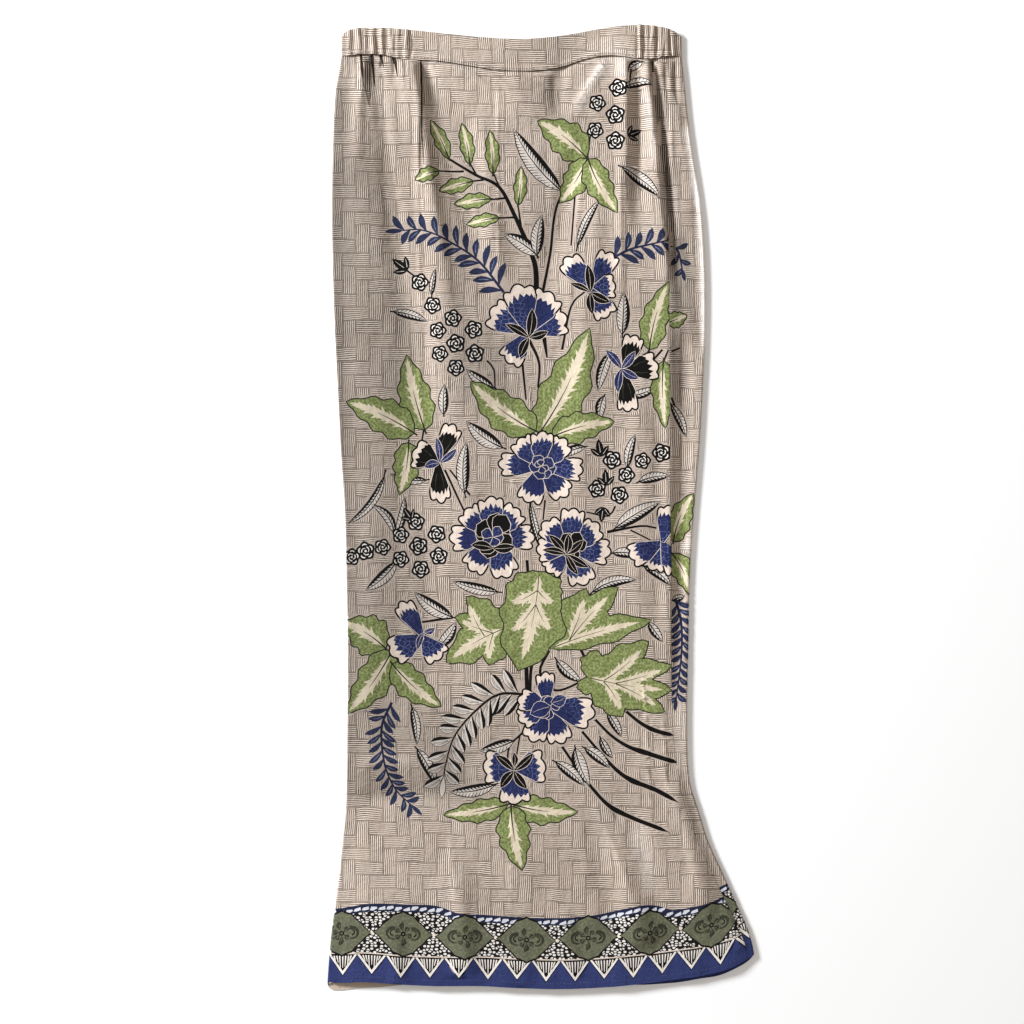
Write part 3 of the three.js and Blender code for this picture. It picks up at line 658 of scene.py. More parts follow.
# %% Ferns and rosettes
def fern(line, length, width, pairs, hatched):
    """Leaflets on both sides of a curved rib, shorter towards the tip."""
    rib = smooth(line, 2.0)
    square = sideways(rib)
    shapes = []
    edge_ink, fill_ink = (BLACK, PALE) if hatched else (BORDER_LINE, NAVY)
    for i in range(pairs):
        share = (i + 0.6) / pairs
        for mark in (1, -1):
            k = min(int((share + 0.25 * mark / pairs) * (len(rib) - 1)), len(rib) - 2)
            along = (rib[k + 1] - rib[k]) / np.hypot(*(rib[k + 1] - rib[k]))
            size = length * (1 - 0.26 * share) * (0.92 + 0.08 * math.cos(2.4 * i + mark))
            tip = rib[k] + (square[k] * mark * 0.8 + along * 0.6) * size
            spine = Spine(rib[k], tip, -mark * 1.6)
            leaflet = lens_outline(spine, width, 0.62, 6)
            shapes += [(swell(leaflet, 0.5), edge_ink), (leaflet, fill_ink)]
            if hatched:
                t = np.linspace(0.1, 0.95, 5)
                inner = 0.35 * width / 2 * np.sin(math.pi * t**1.45)
                outer = leaflet[:6] if mark > 0 else np.vstack([leaflet[:1], leaflet[5:][::-1]])
                shapes.append((np.vstack([outer, spine.at(t, mark * inner)[::-1]]), BLACK))
                for off in (-0.12, -0.28):
                    line_in = spine.at([0.25, 0.6, 0.88], np.array([0.5, 1.0, 0.5]) * mark * off * width)
                    shapes.append((stroke(line_in, 0.5, 0.3), BLACK))
            elif i % 2:
                shapes.append((stroke(spine.at(np.linspace(0.3, 0.75, 3)), 0.6, 0.3), FERN_LIGHT))
    tip = Spine(rib[-1], rib[-1] + (rib[-1] - rib[-3]) / np.hypot(*(rib[-1] - rib[-3])) * length * 0.7)
    tip_leaf = lens_outline(tip, width * 0.6, 0.55, 6)
    shapes += [(swell(tip_leaf, 0.7), edge_ink), (tip_leaf, fill_ink)]
    shapes.append((stroke(rib, 2.8, 1.2), BLACK if hatched else BORDER_LINE))
    return shapes


def rosette(x, y, radius, turn):
    """A small rose on black: five pale petals round three arcs that swirl about a dot."""
    shapes = [(disc(x, y, radius * 1.1, 20, 5, 0.11, turn), BLACK)]

    def ring(angles, shares):
        ways = np.stack([np.cos(angles), np.sin(angles)], -1)
        return ways * (radius * np.array(shares))[:, None] + (x, y)

    for i in range(5):
        a = np.linspace(-0.37, 0.37, 4) + turn + i * 2 * math.pi / 5
        petal_edge = np.vstack([ring(a, [0.81, 0.9, 0.9, 0.81]), ring(a, [0.7, 0.75, 0.75, 0.7])[::-1]])
        shapes.append((petal_edge, WHITE))
    for i in range(3):
        a = np.linspace(0, 1.7, 5) + turn + i * 2 * math.pi / 3
        shapes.append((stroke(ring(a, [0.5, 0.48, 0.44, 0.38, 0.3]), 1.2, 0.6), WHITE))
    shapes.append((disc(x, y, radius * 0.15, 6, turn=turn), WHITE))
    return shapes


print("outlines of a rosette:", len(rosette(0, 0, 8.0, 0.0)))

# %% [markdown]
# ## Blooms
# A bloom is a ring of petals. Each petal is cream with a scalloped edge, and its blue heart ends
# in ragged teeth, as wax cracks and dye creeps. Sepals are dark blades with a fine cream outline.

# %% Petals, sepals and blooms
def toward(x, y, angle, reach):
    """A line from a place. angle is in degrees, 0 to the right and 90 towards the waist."""
    turn = math.radians(angle)
    return (x, y), (x + reach * math.cos(turn), y - reach * math.sin(turn))


def petal(x, y, angle, reach, width, heart):
    """One petal, with a scalloped edge, a ragged heart and two veins."""
    spine = Spine(*toward(x, y, angle, reach))
    width = width * 0.91
    a = np.linspace(-1, 1, 22)
    bumps = np.abs(np.sin(1.5 * math.pi * (a + 1) + 0.35 * math.sin(angle)))
    t = 0.73 + 0.17 * np.cos(a * math.pi / 2) + 0.1 * bumps + 0.02 * np.sin(4 * a + angle)
    off = width / 2 * np.sin(a * math.pi / 2) * (0.9 + 0.1 * bumps)
    side_t, side_off = np.array([0.0, 0.36, 0.58]), np.array([0.07, 0.24, 0.4]) * width
    outline = np.vstack([spine.at(side_t, -side_off), spine.at(t, off), spine.at(side_t, side_off)[::-1]])
    b = np.linspace(-1, 1, 15)
    ragged = np.where(np.arange(15) % 2, 0.06, -0.045) * (1 + 0.5 * np.cos(5 * b + angle))
    heart_t = 0.6 + 0.17 * np.cos(b * math.pi / 2) + 0.07 * b * math.sin(2.3 * angle)
    heart_t = heart_t + ragged * (1 - 0.4 * b**2)
    heart_off = width * 0.45 * np.sin(b * math.pi / 2)
    inside = np.vstack([
        spine.at([0.0], [-0.08 * width]), spine.at(heart_t, heart_off), spine.at([0.0], [0.08 * width]),
    ])
    shapes = [(swell(outline, OUTLINE * 1.4), BLACK), (outline, CREAM)]
    shapes += [(swell(inside, 0.55), CREAM), (inside, heart)]
    for off in (-0.16, 0.14):
        vein = spine.at([0.3, 0.5, 0.68], [off * width * 0.7, off * width * 1.3, off * width * 1.4])
        shapes.append((stroke(vein, 0.9, 0.3), DEEP_BLUE if heart == BLUE else DARK_OLIVE))
    return shapes


def sepal(x, y, angle, reach, width, ink):
    """A dark blade with a fine cream outline and rib."""
    spine = Spine(*toward(x, y, angle, reach), 1.2)
    outline = lens_outline(spine, width, 0.5, 7)
    rib = stroke(spine.at(np.linspace(0.1, 0.85, 4)), FINE * 0.8, 0.2)
    return [(swell(outline, FINE), CREAM), (outline, ink), (rib, CREAM)]


print("outlines of a petal:", len(petal(0, 0, 90, 40, 26, BLUE)))

# %% The blooms' places
BLOOMS = (  # x, y, heart, and a petal for each (angle, reach, width)
    (528, 333, BLUE, ((150, 44, 34), (236, 36, 28), (22, 41, 34), (60, 46, 34), (102, 48, 36))),
    (591, 290, BLUE, ((128, 40, 26), (62, 42, 24), (10, 24, 26), (-58, 32, 26))),
    (624, 372, BLACK, ((74, 38, 22), (12, 34, 30), (-84, 40, 22))),
    (438, 462, BLACK, ((66, 40, 22), (158, 26, 32), (-86, 40, 22))),
    (541, 467, BLUE, ((250, 38, 28), (310, 38, 26), (176, 42, 25), (356, 42, 25), (130, 36, 26),
                      (46, 36, 25), (88, 35, 25))),
    (493, 537, BLUE, ((236, 40, 28), (290, 42, 30), (182, 43, 28), (0, 41, 27), (136, 39, 27),
                      (48, 38, 27), (94, 40, 28))),
    (570, 549, BLUE, ((292, 38, 30), (226, 32, 24), (182, 33, 26), (355, 40, 28), (134, 37, 27),
                      (40, 37, 27), (86, 41, 26))),
    (662, 542, BLUE, ((250, 30, 24), (206, 36, 26), (300, 34, 28), (78, 36, 24))),
    (423, 636, BLUE, ((308, 28, 28), (208, 36, 32), (122, 40, 22))),
    (547, 705, BLUE, ((292, 40, 27), (246, 38, 27), (208, 31, 24), (166, 29, 24), (348, 47, 34),
                      (94, 33, 20))),
    (515, 768, BLUE, ((270, 35, 34), (176, 31, 36), (6, 30, 36))),
)
HEARTS = (  # x, y, radius, petals, ink: the small petals in the middle of a front-facing bloom
    (543, 468, 13, 6, BLUE), (541, 466, 7, 4, BLUE), (493, 535, 21, 8, BLACK), (493, 537, 11, 5, BLUE),
    (571, 546, 14, 6, BLACK), (549, 706, 12, 5, BLUE),
)
SEPALS = (  # x, y, ink, and a sepal for each (angle, reach, width)
    (529, 338, BLACK, ((150, 27, 8), (84, 29, 10), (18, 20, 8), (246, 22, 9))),
    (590, 293, BLACK, ((96, 28, 9), (334, 22, 9), (276, 22, 8), (156, 22, 6))),
    (621, 369, BLUE, ((130, 24, 8), (52, 22, 8), (330, 20, 8), (262, 24, 8))),
    (440, 463, BLUE, ((98, 26, 7), (196, 16, 8), (40, 22, 7))),
    (493, 548, BLACK, ((172, 22, 9), (4, 22, 9))),
    (566, 554, BLACK, ((132, 26, 8), (170, 24, 7), (40, 22, 8), (330, 26, 8), (300, 24, 7), (84, 20, 8))),
    (514, 770, BLACK, ((140, 24, 8), (42, 26, 8), (232, 22, 9), (306, 22, 9))),
    (514, 766, BLACK, ((90, 14, 6),)),
    (551, 702, BLUE, ((20, 16, 12),)),
    (551, 706, BLUE, ((200, 22, 16),)),
    (424, 632, BLUE, ((250, 18, 6), (20, 12, 6))),
)
print("petals:", sum(len(row[3]) for row in BLOOMS))

# %% [markdown]
# ## Where the motifs lie
# The layout is placed one by one: a sprig under the waistband, ferns, a middle spray of blooms on
# broad leaves, clusters of rosettes beside them and long black stems that sweep to the seam. The
# painted shadows are dark bands painted where cloth hides in the gathers and beside the pleat,
# which shows almost black. The strip tables are for the narrow part of the back that turns round the right
# edge.

# %% Leaves and quills of the layout
SMALL_LEAVES = (
    ((449, 159), (431, 122), 12), ((470, 165), (462, 125), 12), ((493, 175), (490, 132), 12),
    ((439, 172), (416, 181), 12), ((473, 182), (440, 192), 13), ((491, 200), (455, 205), 13),
    ((518, 206), (521, 168), 11), ((499, 219), (467, 225), 11),
)
GREEN_LEAVES = (  # base, tip, width, bend
    ((586, 158), (538, 122), 32, 3), ((587, 160), (560, 203), 24, -2), ((588, 160), (617, 213), 24, 3),
    ((649, 350), (668, 283), 24, -3), ((663, 362), (665, 428), 20, 2), ((425, 430), (407, 356), 30, -2),
    ((414, 433), (347, 402), 32, 3), ((409, 443), (400, 494), 24, -2), ((539, 434), (589, 329), 42, 5),
    ((535, 431), (471, 382), 34, -4), ((552, 437), (614, 422), 27, -3), ((386, 648), (343, 622), 36, 3),
    ((392, 651), (347, 713), 32, -3), ((393, 664), (441, 706), 27, 3), ((507, 804), (444, 814), 20, -2),
    ((514, 804), (577, 811), 25, 3), ((511, 806), (522, 869), 29, 2),
)
LOBED_LEAVES = (  # base, lobes of (tip, width, bend), hub, hub width
    ((505, 628), (((447, 662), 32, 3), ((456, 617), 25, -2), ((489, 664), 26, 2), ((467, 597), 25, -2)),
     (482, 632), 40),
    ((551, 648), (((650, 620), 25, -3), ((586, 589), 32, 2), ((618, 587), 28, -2)), (589, 617), 38),
    ((539, 572), (((518, 670), 60, -4), ((506, 604), 30, -2), ((556, 604), 30, 2), ((506, 636), 30, -2),
                  ((554, 634), 30, 2)), (531, 604), 48),
    ((588, 677), (((671, 690), 27, 2), ((648, 641), 27, 3), ((622, 716), 28, -3), ((671, 665), 25, 2),
                  ((664, 711), 26, -2), ((597, 650), 22, 0), ((586, 694), 18, 0)), (625, 679), 42),
)
QUILLS = (  # base, tip, width, bend
    ((562, 192), (514, 130), 17, -5), ((621, 168), (659, 198), 11, -3), ((624, 90), (653, 86), 8, -5),
    ((537, 256), (504, 235), 13, 2), ((537, 256), (542, 216), 12, -2), ((577, 248), (600, 200), 7, -3),
    ((622, 335), (624, 293), 12, 0), ((610, 353), (598, 391), 10, 2), ((444, 415), (445, 385), 9, -1),
    ((503, 448), (467, 422), 14, -3), ((465, 494), (467, 442), 12, -3), ((427, 480), (391, 474), 8, -3),
    ((385, 475), (347, 524), 7, -7), ((395, 534), (373, 505), 8, 5), ((397, 561), (366, 590), 11, -3),
    ((615, 528), (660, 502), 13, -2), ((612, 553), (640, 556), 9, -2), ((643, 566), (670, 585), 9, -3),
    ((592, 592), (636, 580), 10, -5), ((499, 592), (453, 581), 10, -2), ((453, 617), (415, 592), 13, -3),
    ((438, 647), (456, 622), 10, 2), ((648, 622), (662, 641), 8, 0), ((556, 659), (581, 681), 10, 2),
    ((412, 706), (417, 744), 8, -2), ((417, 748), (437, 785), 10, -2), ((514, 740), (480, 750), 11, -2),
    ((495, 784), (450, 791), 11, -3), ((607, 712), (621, 736), 8, -1), ((600, 737), (612, 757), 7, 1),
    ((584, 747), (609, 767), 10, -2), ((575, 747), (589, 784), 13, 2), ((555, 761), (584, 785), 10, -2),
    ((638, 482), (669, 476), 9, -2), ((627, 468), (635, 435), 8, -2), ((585, 447), (560, 458), 8, 2),
    ((396, 536), (405, 497), 7, 2), ((393, 312), (427, 322), 8, -2), ((432, 296), (436, 270), 5, -1),
    ((494, 388), (467, 370), 10, -2), ((642, 63), (628, 73), 8, 2), ((630, 397), (655, 388), 8, 1),
    ((604, 396), (600, 420), 9, 2), ((530, 500), (548, 560), 6, 3),
)
print("leaves:", len(SMALL_LEAVES) + len(GREEN_LEAVES), "quills:", len(QUILLS))

# %% Rosettes, buds and ferns of the layout
ROSETTES = (
    (420, 283), (618, 89), (597, 104), (615, 116), (595, 131), (615, 142), (433, 306), (453, 319),
    (474, 330), (438, 331), (456, 344), (440, 354), (475, 354), (456, 368), (416, 522), (437, 534),
    (401, 535), (419, 546), (383, 547), (366, 551), (401, 559), (439, 556), (421, 569), (352, 557),
    (612, 460), (642, 461), (661, 453), (626, 475), (597, 489), (619, 495),
)
BUDS = (((627, 137), (641, 131)), ((408, 271), (393, 260)), ((601, 457), (598, 440)),
        ((606, 486), (605, 470)), ((603, 507), (601, 522)), ((412, 520), (404, 508)))
FERNS = (  # line, leaflet length, leaflet width, pairs, hatched
    (((504, 293), (478, 261), (447, 241), (422, 231), (403, 231)), 25, 5.8, 11, False),
    (((612, 259), (630, 250), (650, 245), (674, 240)), 23, 5.8, 6, False),
    (((392, 702), (382, 727), (385, 763), (396, 789), (411, 804)), 21, 4.6, 13, False),
    (((527, 694), (499, 694), (476, 710), (455, 735), (446, 763), (444, 776)), 31, 9.4, 11, True),
)
print("rosettes:", len(ROSETTES), "ferns:", len(FERNS))

# %% Stems, sweeps and painted shadows of the tucks
STEMS = (  # points, start width, end width
    (((536, 300), (536, 274), (532, 256), (514, 215), (499, 188), (476, 176), (447, 158)), 4.4, 1.6),
    (((484, 181), (472, 182)), 1.6, 1), (((500, 190), (494, 175)), 1.6, 1),
    (((505, 199), (490, 201)), 1.6, 1), (((521, 227), (518, 206)), 1.6, 1),
    (((516, 218), (498, 219)), 1.6, 1), (((477, 177), (470, 164)), 1.6, 1),
    (((464, 172), (438, 172)), 1.6, 1), (((406, 270), (420, 281)), 1.4, 1),
    (((542, 296), (550, 255), (558, 203), (587, 159)), 2.2, 1.4),
    (((562, 350), (571, 307), (585, 292)), 1.8, 1.2), (((575, 194), (571, 246)), 1.2, 1.2),
    (((529, 340), (539, 363), (538, 388)), 2.4, 1.4), (((544, 338), (547, 358)), 3.4, 1.2),
    (((520, 340), (524, 380), (526, 400)), 2.2, 1.2), (((587, 160), (591, 130)), 1.4, 1),
    (((424, 430), (421, 448)), 1.4, 1), (((541, 432), (545, 420)), 2, 1.4),
    (((649, 350), (640, 366)), 1.4, 1), (((487, 361), (494, 370), (495, 388)), 1.4, 1),
    (((470, 495), (450, 470)), 1.6, 1.2), (((445, 470), (470, 520), (480, 512)), 1.6, 1.2),
    (((545, 500), (543, 520)), 1.4, 1.0), (((555, 560), (560, 580), (553, 596)), 1.8, 1.2),
    (((527, 560), (528, 575)), 2.4, 2), (((543, 648), (532, 664), (530, 690)), 2.6, 2.2),
    (((526, 655), (527, 690)), 3.4, 3.0), (((549, 650), (540, 672), (556, 690), (588, 678)), 2.2, 1.4),
    (((576, 640), (592, 672)), 2.4, 1.6), (((453, 617), (420, 622), (410, 620)), 2.2, 1),
    (((393, 660), (380, 646), (362, 634)), 2.6, 1.4), (((393, 655), (376, 668), (366, 684)), 2.2, 1.2),
    (((399, 672), (412, 688)), 2.4, 1), (((524, 731), (510, 745), (507, 762)), 1.6, 1.2),
    (((520, 734), (516, 758)), 1.2, 1), (((496, 784), (480, 786)), 1.8, 1),
    (((607, 532), (640, 526), (656, 528)), 2.2, 1.2), (((630, 530), (650, 540)), 1.2, 1),
    (((615, 506), (608, 516), (586, 512)), 1.4, 1), (((663, 362), (668, 350)), 1.6, 1),
    (((640, 375), (662, 350)), 1.2, 1.6),
)
SWEEPS = (  # points, thin and thick width: long strokes that sweep down to the seam
    (((626, 711), (641, 723), (655, 730), (674, 735)), 3.0, 4.0),
    (((595, 719), (611, 735), (628, 746), (645, 752), (680, 763)), 2.6, 4.4),
    (((582, 731), (600, 752), (617, 770), (632, 780), (655, 789), (679, 802)), 2.6, 4.4),
    (((562, 746), (575, 765), (590, 785), (609, 805), (632, 817), (655, 826), (670, 832)), 2.6, 4.0),
)
PAINTED_SHADOW_BANDS = (  # points and a width at each: painted shadow where cloth is tucked out of the light, and its darkest line
    (((651, 60), (654, 80), (659, 110), (663, 145), (668, 185), (672, 225), (676, 262)),
     (4, 7, 8, 7.5, 6.5, 4, 0.6), PAINTED_TUCK_SHADOW),
    (((652, 62), (653, 74), (656, 92)), (1.7, 1.5, 0.5), PAINTED_DEEP_SHADOW),
    (((674, 62), (672, 75), (673, 90), (677, 106)), (4, 5, 3.6, 0.6), PAINTED_TUCK_SHADOW),
    (((631, 70), (630, 78), (629, 90)), (2.4, 1.9, 0.5), PAINTED_DEEP_SHADOW),
    (((366, 55), (367, 66), (367, 84), (370, 108)), (10, 9.5, 8, 1), PAINTED_TUCK_SHADOW),
    (((361, 55), (362, 66), (363, 80)), (2.4, 2, 0.6), PAINTED_DEEP_SHADOW),
    (((372, 55), (373, 66), (375, 88)), (3, 2.6, 0.6), PAINTED_DEEP_SHADOW),
    (((381, 55), (382, 60), (384, 68)), (4, 2.4, 0.6), PAINTED_DEEP_SHADOW),
    (((394, 58), (396, 66), (398, 78)), (4, 2.6, 0.6), PAINTED_DEEP_SHADOW),
    (((403, 60), (404, 70), (404, 84)), (2.4, 1.8, 0.6), PAINTED_TUCK_SHADOW),
    (((421, 62), (422, 90), (422, 130), (424, 166)), (1.4, 1.7, 1.3, 0.4), PAINTED_DEEP_SHADOW),
)
print("stems:", len(STEMS), "tucks:", len(PAINTED_SHADOW_BANDS))

# %% The strip beside the seam
STRIP_STEMS = ((((671, 398), (684, 430)), 1.6, 1.0), (((671, 352), (680, 348)), 1.4, 1.0))
STRIP_LEAVES = (
    ((673, 541), (693, 494), 22, -3), ((672, 554), (690, 594), 20, -3), ((668, 323), (686, 316), 14, 0),
)
STRIP_QUILLS = (((670, 404), (686, 437), 8, -2), ((672, 600), (684, 596), 6, 0))
STRIP_FERNS = (
    (((675, 598), (681, 623), (681, 656), (676, 698)), 18, 4.6, 12, False),
    (((671, 246), (678, 252), (682, 270)), 16, 4.6, 2, False),
)
print("ferns on the strip:", len(STRIP_FERNS))

# %% [markdown]
# ## Printing the motifs in order
# What is printed first lies lowest: plain halos, then stems, quills, ferns, leaves, rosettes and
# buds, with the blooms on top. Their middles come after them, and the painted shadows of the tucks last.

# %% The list of printed shapes
HALO, LEAF_HALO, PETAL_HALO = 2.6, 1.6, 2.0  # mm of plain cloth round a motif
ROSETTE_HALO = 11  # mm, its radius


def spray(stems, sweeps, quills, ferns, small, leaves, lobed=(), roses=(), buds=(), blooms=()):
    """All shapes of one stretch of print, lowest first."""
    halos, drawn = [], []

    def put(shapes, margin=HALO):
        halos.append((swell(shapes[0][0][::2], margin), PLAIN))
        drawn.extend(shapes)

    def put_line(line, halo, outline):
        halos.append((stroke(smooth(line, 6.0), halo), PLAIN))
        drawn.append((outline, BLACK))

    for line, start, end in stems:
        put_line(line, start + 5, stroke(smooth(line, 5.0), start * 1.25 + 0.2, end * 1.25 + 0.2))
    for line, thin, thick in sweeps:
        put_line(line, thick + 3, brush(line, thin, thick))
    for row in quills:
        put(quill(*row))
    for line, length, width, pairs, hatched in ferns:
        halos.append((stroke(smooth(line, 6.0), length * 0.9, length * 0.7), PLAIN))
        leaflets = fern(line, length, width, pairs, hatched)
        filled = [outline for outline, ink in leaflets if ink in (NAVY, PALE)]
        halos += [(swell(outline[::2], LEAF_HALO), PLAIN) for outline in filled]
        drawn += leaflets
    for row in small:
        put(green_leaf(*row, bend=1.0, belly=0.5, teeth=3, depth=0.16, heart=0.42), LEAF_HALO)
    for row in leaves:
        put(green_leaf(*row), LEAF_HALO)
    for row in lobed:
        drawn += lobed_leaf(*row)
    for i, (x, y) in enumerate(roses):
        halos.append((disc(x, y, ROSETTE_HALO, 9), PLAIN))
        drawn += rosette(x, y, 8.0 + 0.5 * math.sin(2.7 * i), 0.7 * i)
    for row in buds:
        put(bud(*row))
    for x, y, heart, petals in blooms:
        for row in petals:
            put(petal(x, y, *row, heart), PETAL_HALO)
    return halos + drawn


def bloom_middles():
    """Small plain petals in the middle of each front-facing bloom, and the sepals."""
    shapes = []
    for i, (x, y, radius, count, ink) in enumerate(HEARTS):
        for k in range(count):
            turn = (k + 0.3 * math.sin(3 * k + i)) * 2 * math.pi / count
            reach = radius * (1 + 0.14 * math.sin(5 * k + 2 * i))
            spine = Spine((x, y), (x + reach * math.cos(turn), y + reach * math.sin(turn)), 0.8)
            outline = lens_outline(spine, radius * 0.95, 0.62, 6)
            shapes += [(swell(outline, 0.55), CREAM), (outline, ink)]
    for x, y, ink, blades in SEPALS:
        for row in blades:
            shapes += sepal(x, y, *row, ink)
    return shapes


def onto_cloth(shapes):
    """Shapes moved from the drawing table to the cloth's own measure."""
    return [(outline + LAYOUT_CORNER, ink) for outline, ink in shapes]


# Painted shadows: dark bands where the cloth is tucked out of the light.
painted_shadow_shapes = [(stroke(line, np.array(widths, float)), ink) for line, widths, ink in PAINTED_SHADOW_BANDS]
front_print = onto_cloth(
    spray(STEMS, SWEEPS, QUILLS, FERNS, SMALL_LEAVES, GREEN_LEAVES, LOBED_LEAVES, ROSETTES, BUDS, BLOOMS)
    + bloom_middles() + painted_shadow_shapes)
strip_print = onto_cloth(spray(STRIP_STEMS, (), STRIP_QUILLS, STRIP_FERNS, (), STRIP_LEAVES) + painted_shadow_shapes)
print("shapes:", len(front_print), "points:", sum(len(outline) for outline, ink in front_print))

# %% [markdown]
# ## The border along the hem
# The border is drawn above the hem's own edge, so that it follows it: a plain blue edge, black
# and white triangles that point down, a thin line, olive lozenges on pebbled black, and a wavy
# blue line with pale dashes on top. It is worked out from a few pitches and heights.

# %% Border shapes
LOZENGE_PITCH, LOZENGE_WIDTH, LOZENGE_HEIGHT = 61.5, 60.0, 41.5
LOZENGE_START, LOZENGE_LEVEL = -169.5, 49.5  # one's place across, and their height above the hem
TRIANGLE_PITCH, TRIANGLE_START = 29.0, -168.5
APEX_LEVEL, BASE_LEVEL = 8.0, 28.0
LINE_LEVEL = 29.5
DASH_PITCH = 8.2
PAST_HEM = -24  # the border starts this low, so that none of the ground shows at the hem
RAYS = (-8.6, -5.9, -3.0, 0.1, 3.1, 6.0, 8.7)  # where the rays of a triangle start across
WAVE_TOP = table(  # height of the border's top line above the hem
    "x up",
    (-420, 73), (-330, 78), (-250, 71), (-176, 73), (-135, 78), (-101, 79.5), (-75, 79), (-52, 72),
    (-12, 70), (48, 70), (88, 72), (128, 78), (146, 75), (160, 69), (188, 70), (212, 73), (236, 80),
    (260, 79), (330, 72), (410, 78), (500, 71), (620, 75),
)


def triangle(on_hem, x, i):
    """A black triangle pointing down, with a cream outline and cream rays."""
    half, apex = TRIANGLE_PITCH / 2, APEX_LEVEL + 0.9 * math.sin(2.3 * i)
    shapes = []
    for ink, inset in ((BLACK, -0.9), (WHITE, 0.0), (BLACK, 2.4)):
        corners = ([x - half + inset, x, x + half - inset], [BASE_LEVEL, apex + inset * 1.6, BASE_LEVEL])
        shapes.append((on_hem(*corners), ink))
    low = BASE_LEVEL - 1.0
    for ray in RAYS:
        end = apex + 6.5 + 8.5 * (abs(ray) / half) ** 1.1 + 2.6 * math.sin(3 * ray + i)
        line = on_hem([x + ray, x + ray * 0.74], [low, min(end, low - 3)])
        shapes.append((stroke(line, 1.5, 0.6), WHITE))
    return shapes


def lozenge(on_hem, x, i):
    """An olive lozenge with ogee sides, and a few plain scrolls and leaves inside."""
    u = np.linspace(-1, 1, 19)
    bell = (0.5 + 0.5 * np.cos(math.pi * u)) ** 0.66 * (1 + 0.04 * np.cos(6 * math.pi * u))
    across = LOZENGE_WIDTH / 2 * np.concatenate([u, u[::-1][1:-1]])
    up = LOZENGE_HEIGHT / 2 * np.concatenate([bell, -bell[::-1][1:-1]])
    level = LOZENGE_LEVEL + 1.2 * math.sin(1.7 * i)
    shapes = [
        (on_hem(x + across * 1.02, level + up * 1.09), BLACK),
        (on_hem(x + across * 0.97, level + up), OLIVE),
    ]

    def mark(outline, ink):
        shapes.append((on_hem(x + outline[:, 0], level + outline[:, 1]), ink))

    for way in (1, -1):
        a = np.linspace(-1.9, 1.9, 8)
        hook = np.stack([way * (10 + 6.4 * np.cos(a)), 5.6 * np.sin(a)], -1)
        mark(stroke(hook, 1.4, 4.0), DARK_OLIVE)
        curl = np.stack([way * (10 + 3 * np.cos(a * 0.8)), 2.6 * np.sin(a * 0.8) + 0.6], -1)
        mark(stroke(curl, 1.5, 0.8), BLACK)
    for k, turn in enumerate((0.5, 1.57, 2.6, 3.7, 4.71, 5.7)):
        lean = turn + 0.25 * math.sin(2 * i + k)
        way = np.array([math.cos(lean), math.sin(lean)])
        leaf = lens_outline(Spine(way * 2.4, way * (12.5 if k % 3 == 1 else 9.5), 1.4), 5.2, 0.6, 5)
        mark(leaf, DARK_OLIVE)
        mark(stroke(Spine(way * 4, way * 9, 1.0).at([0, 0.5, 1]), 0.7, 0.4), OLIVE)
    mark(disc(0, 0, 2.6, 8), BLACK)
    mark(disc(0, 0, 1.2, 6), OLIVE)
    mark(disc(LOZENGE_PITCH / 2, 0, 1.9, 8), CREAM)
    return shapes


def border(hem, left, right):
    """The printed border between two places across, on a cloth whose hem lies at hem(s)."""

    def on_hem(across, up):
        across = np.asarray(across, float)
        return np.stack([across, hem(across) - np.asarray(up, float)], -1)

    run = np.arange(left - 4, right + 4, 4.0)
    top = through(WAVE_TOP, "x", "up", run)

    def ribbon(low, high, ink):
        low, high = np.broadcast_to(low, run.shape), np.broadcast_to(high, run.shape)
        return np.vstack([on_hem(run, low), on_hem(run, high)[::-1]]), ink

    shapes = [ribbon(PAST_HEM, top, PEBBLED), ribbon(top - 6.6, top + 1.0, BORDER_LINE)]
    for i, x in enumerate(np.arange(left, right, DASH_PITCH)):
        up = float(through(WAVE_TOP, "x", "up", np.array([x + 3]))[0]) + 0.6 * math.sin(1.9 * i)
        tilt = 1.1 * math.sin(2.3 * i)
        across = [x, x + 1.4, x + 6.9, x + 7.4, x + 3]
        dash = on_hem(across, [up - 5.2, up - 2.4 + tilt, up - 1.2, up - 3.6 + tilt, up - 5.4])
        shapes.append((dash, PALE_BLUE))
    shapes += [
        ribbon(PAST_HEM, LINE_LEVEL, HEM_BLUE),
        ribbon(BASE_LEVEL - 0.6, LINE_LEVEL, BLACK),
        ribbon(LINE_LEVEL - 0.9, LINE_LEVEL + 0.2, CREAM),
    ]
    rows = ((triangle, TRIANGLE_START, TRIANGLE_PITCH), (lozenge, LOZENGE_START, LOZENGE_PITCH))
    for drawing, start, pitch in rows:
        first, last = math.ceil((left - start) / pitch) - 1, math.floor((right - start) / pitch) + 1
        for i in range(first, last + 1):
            shapes += drawing(on_hem, start + i * pitch, i)
    return shapes


print("border: a triangle each", TRIANGLE_PITCH, "mm and a lozenge each", LOZENGE_PITCH, "mm")

# %% [markdown]
# ## From drawing to cloth
# A shell is made in three steps. First the flat cloth is cut into triangles along every printed
# outline, which Blender's own constrained triangulation does. Then each triangle is painted with
# the last shape that covers it. Last, all points are laid in place, a second layer of them closes
# the shell from inside, and each point keeps the true direction of the cloth for smooth shading.

# %% Which triangles a shape covers
CELL = 10.0  # mm, of the grid that finds triangles near a shape


def inside(points, outline):
    """Whether each point lies in an outline, by counting crossings."""
    x, y = points[:, 0][:, None], points[:, 1][:, None]
    ax, ay = outline[:, 0], outline[:, 1]
    bx, by = np.roll(ax, -1), np.roll(ay, -1)
    rises = np.where(by == ay, 1e-12, by - ay)
    crosses = ((ay > y) != (by > y)) & (x < (bx - ax) * (y - ay) / rises + ax)
    return crosses.sum(1) % 2 == 1


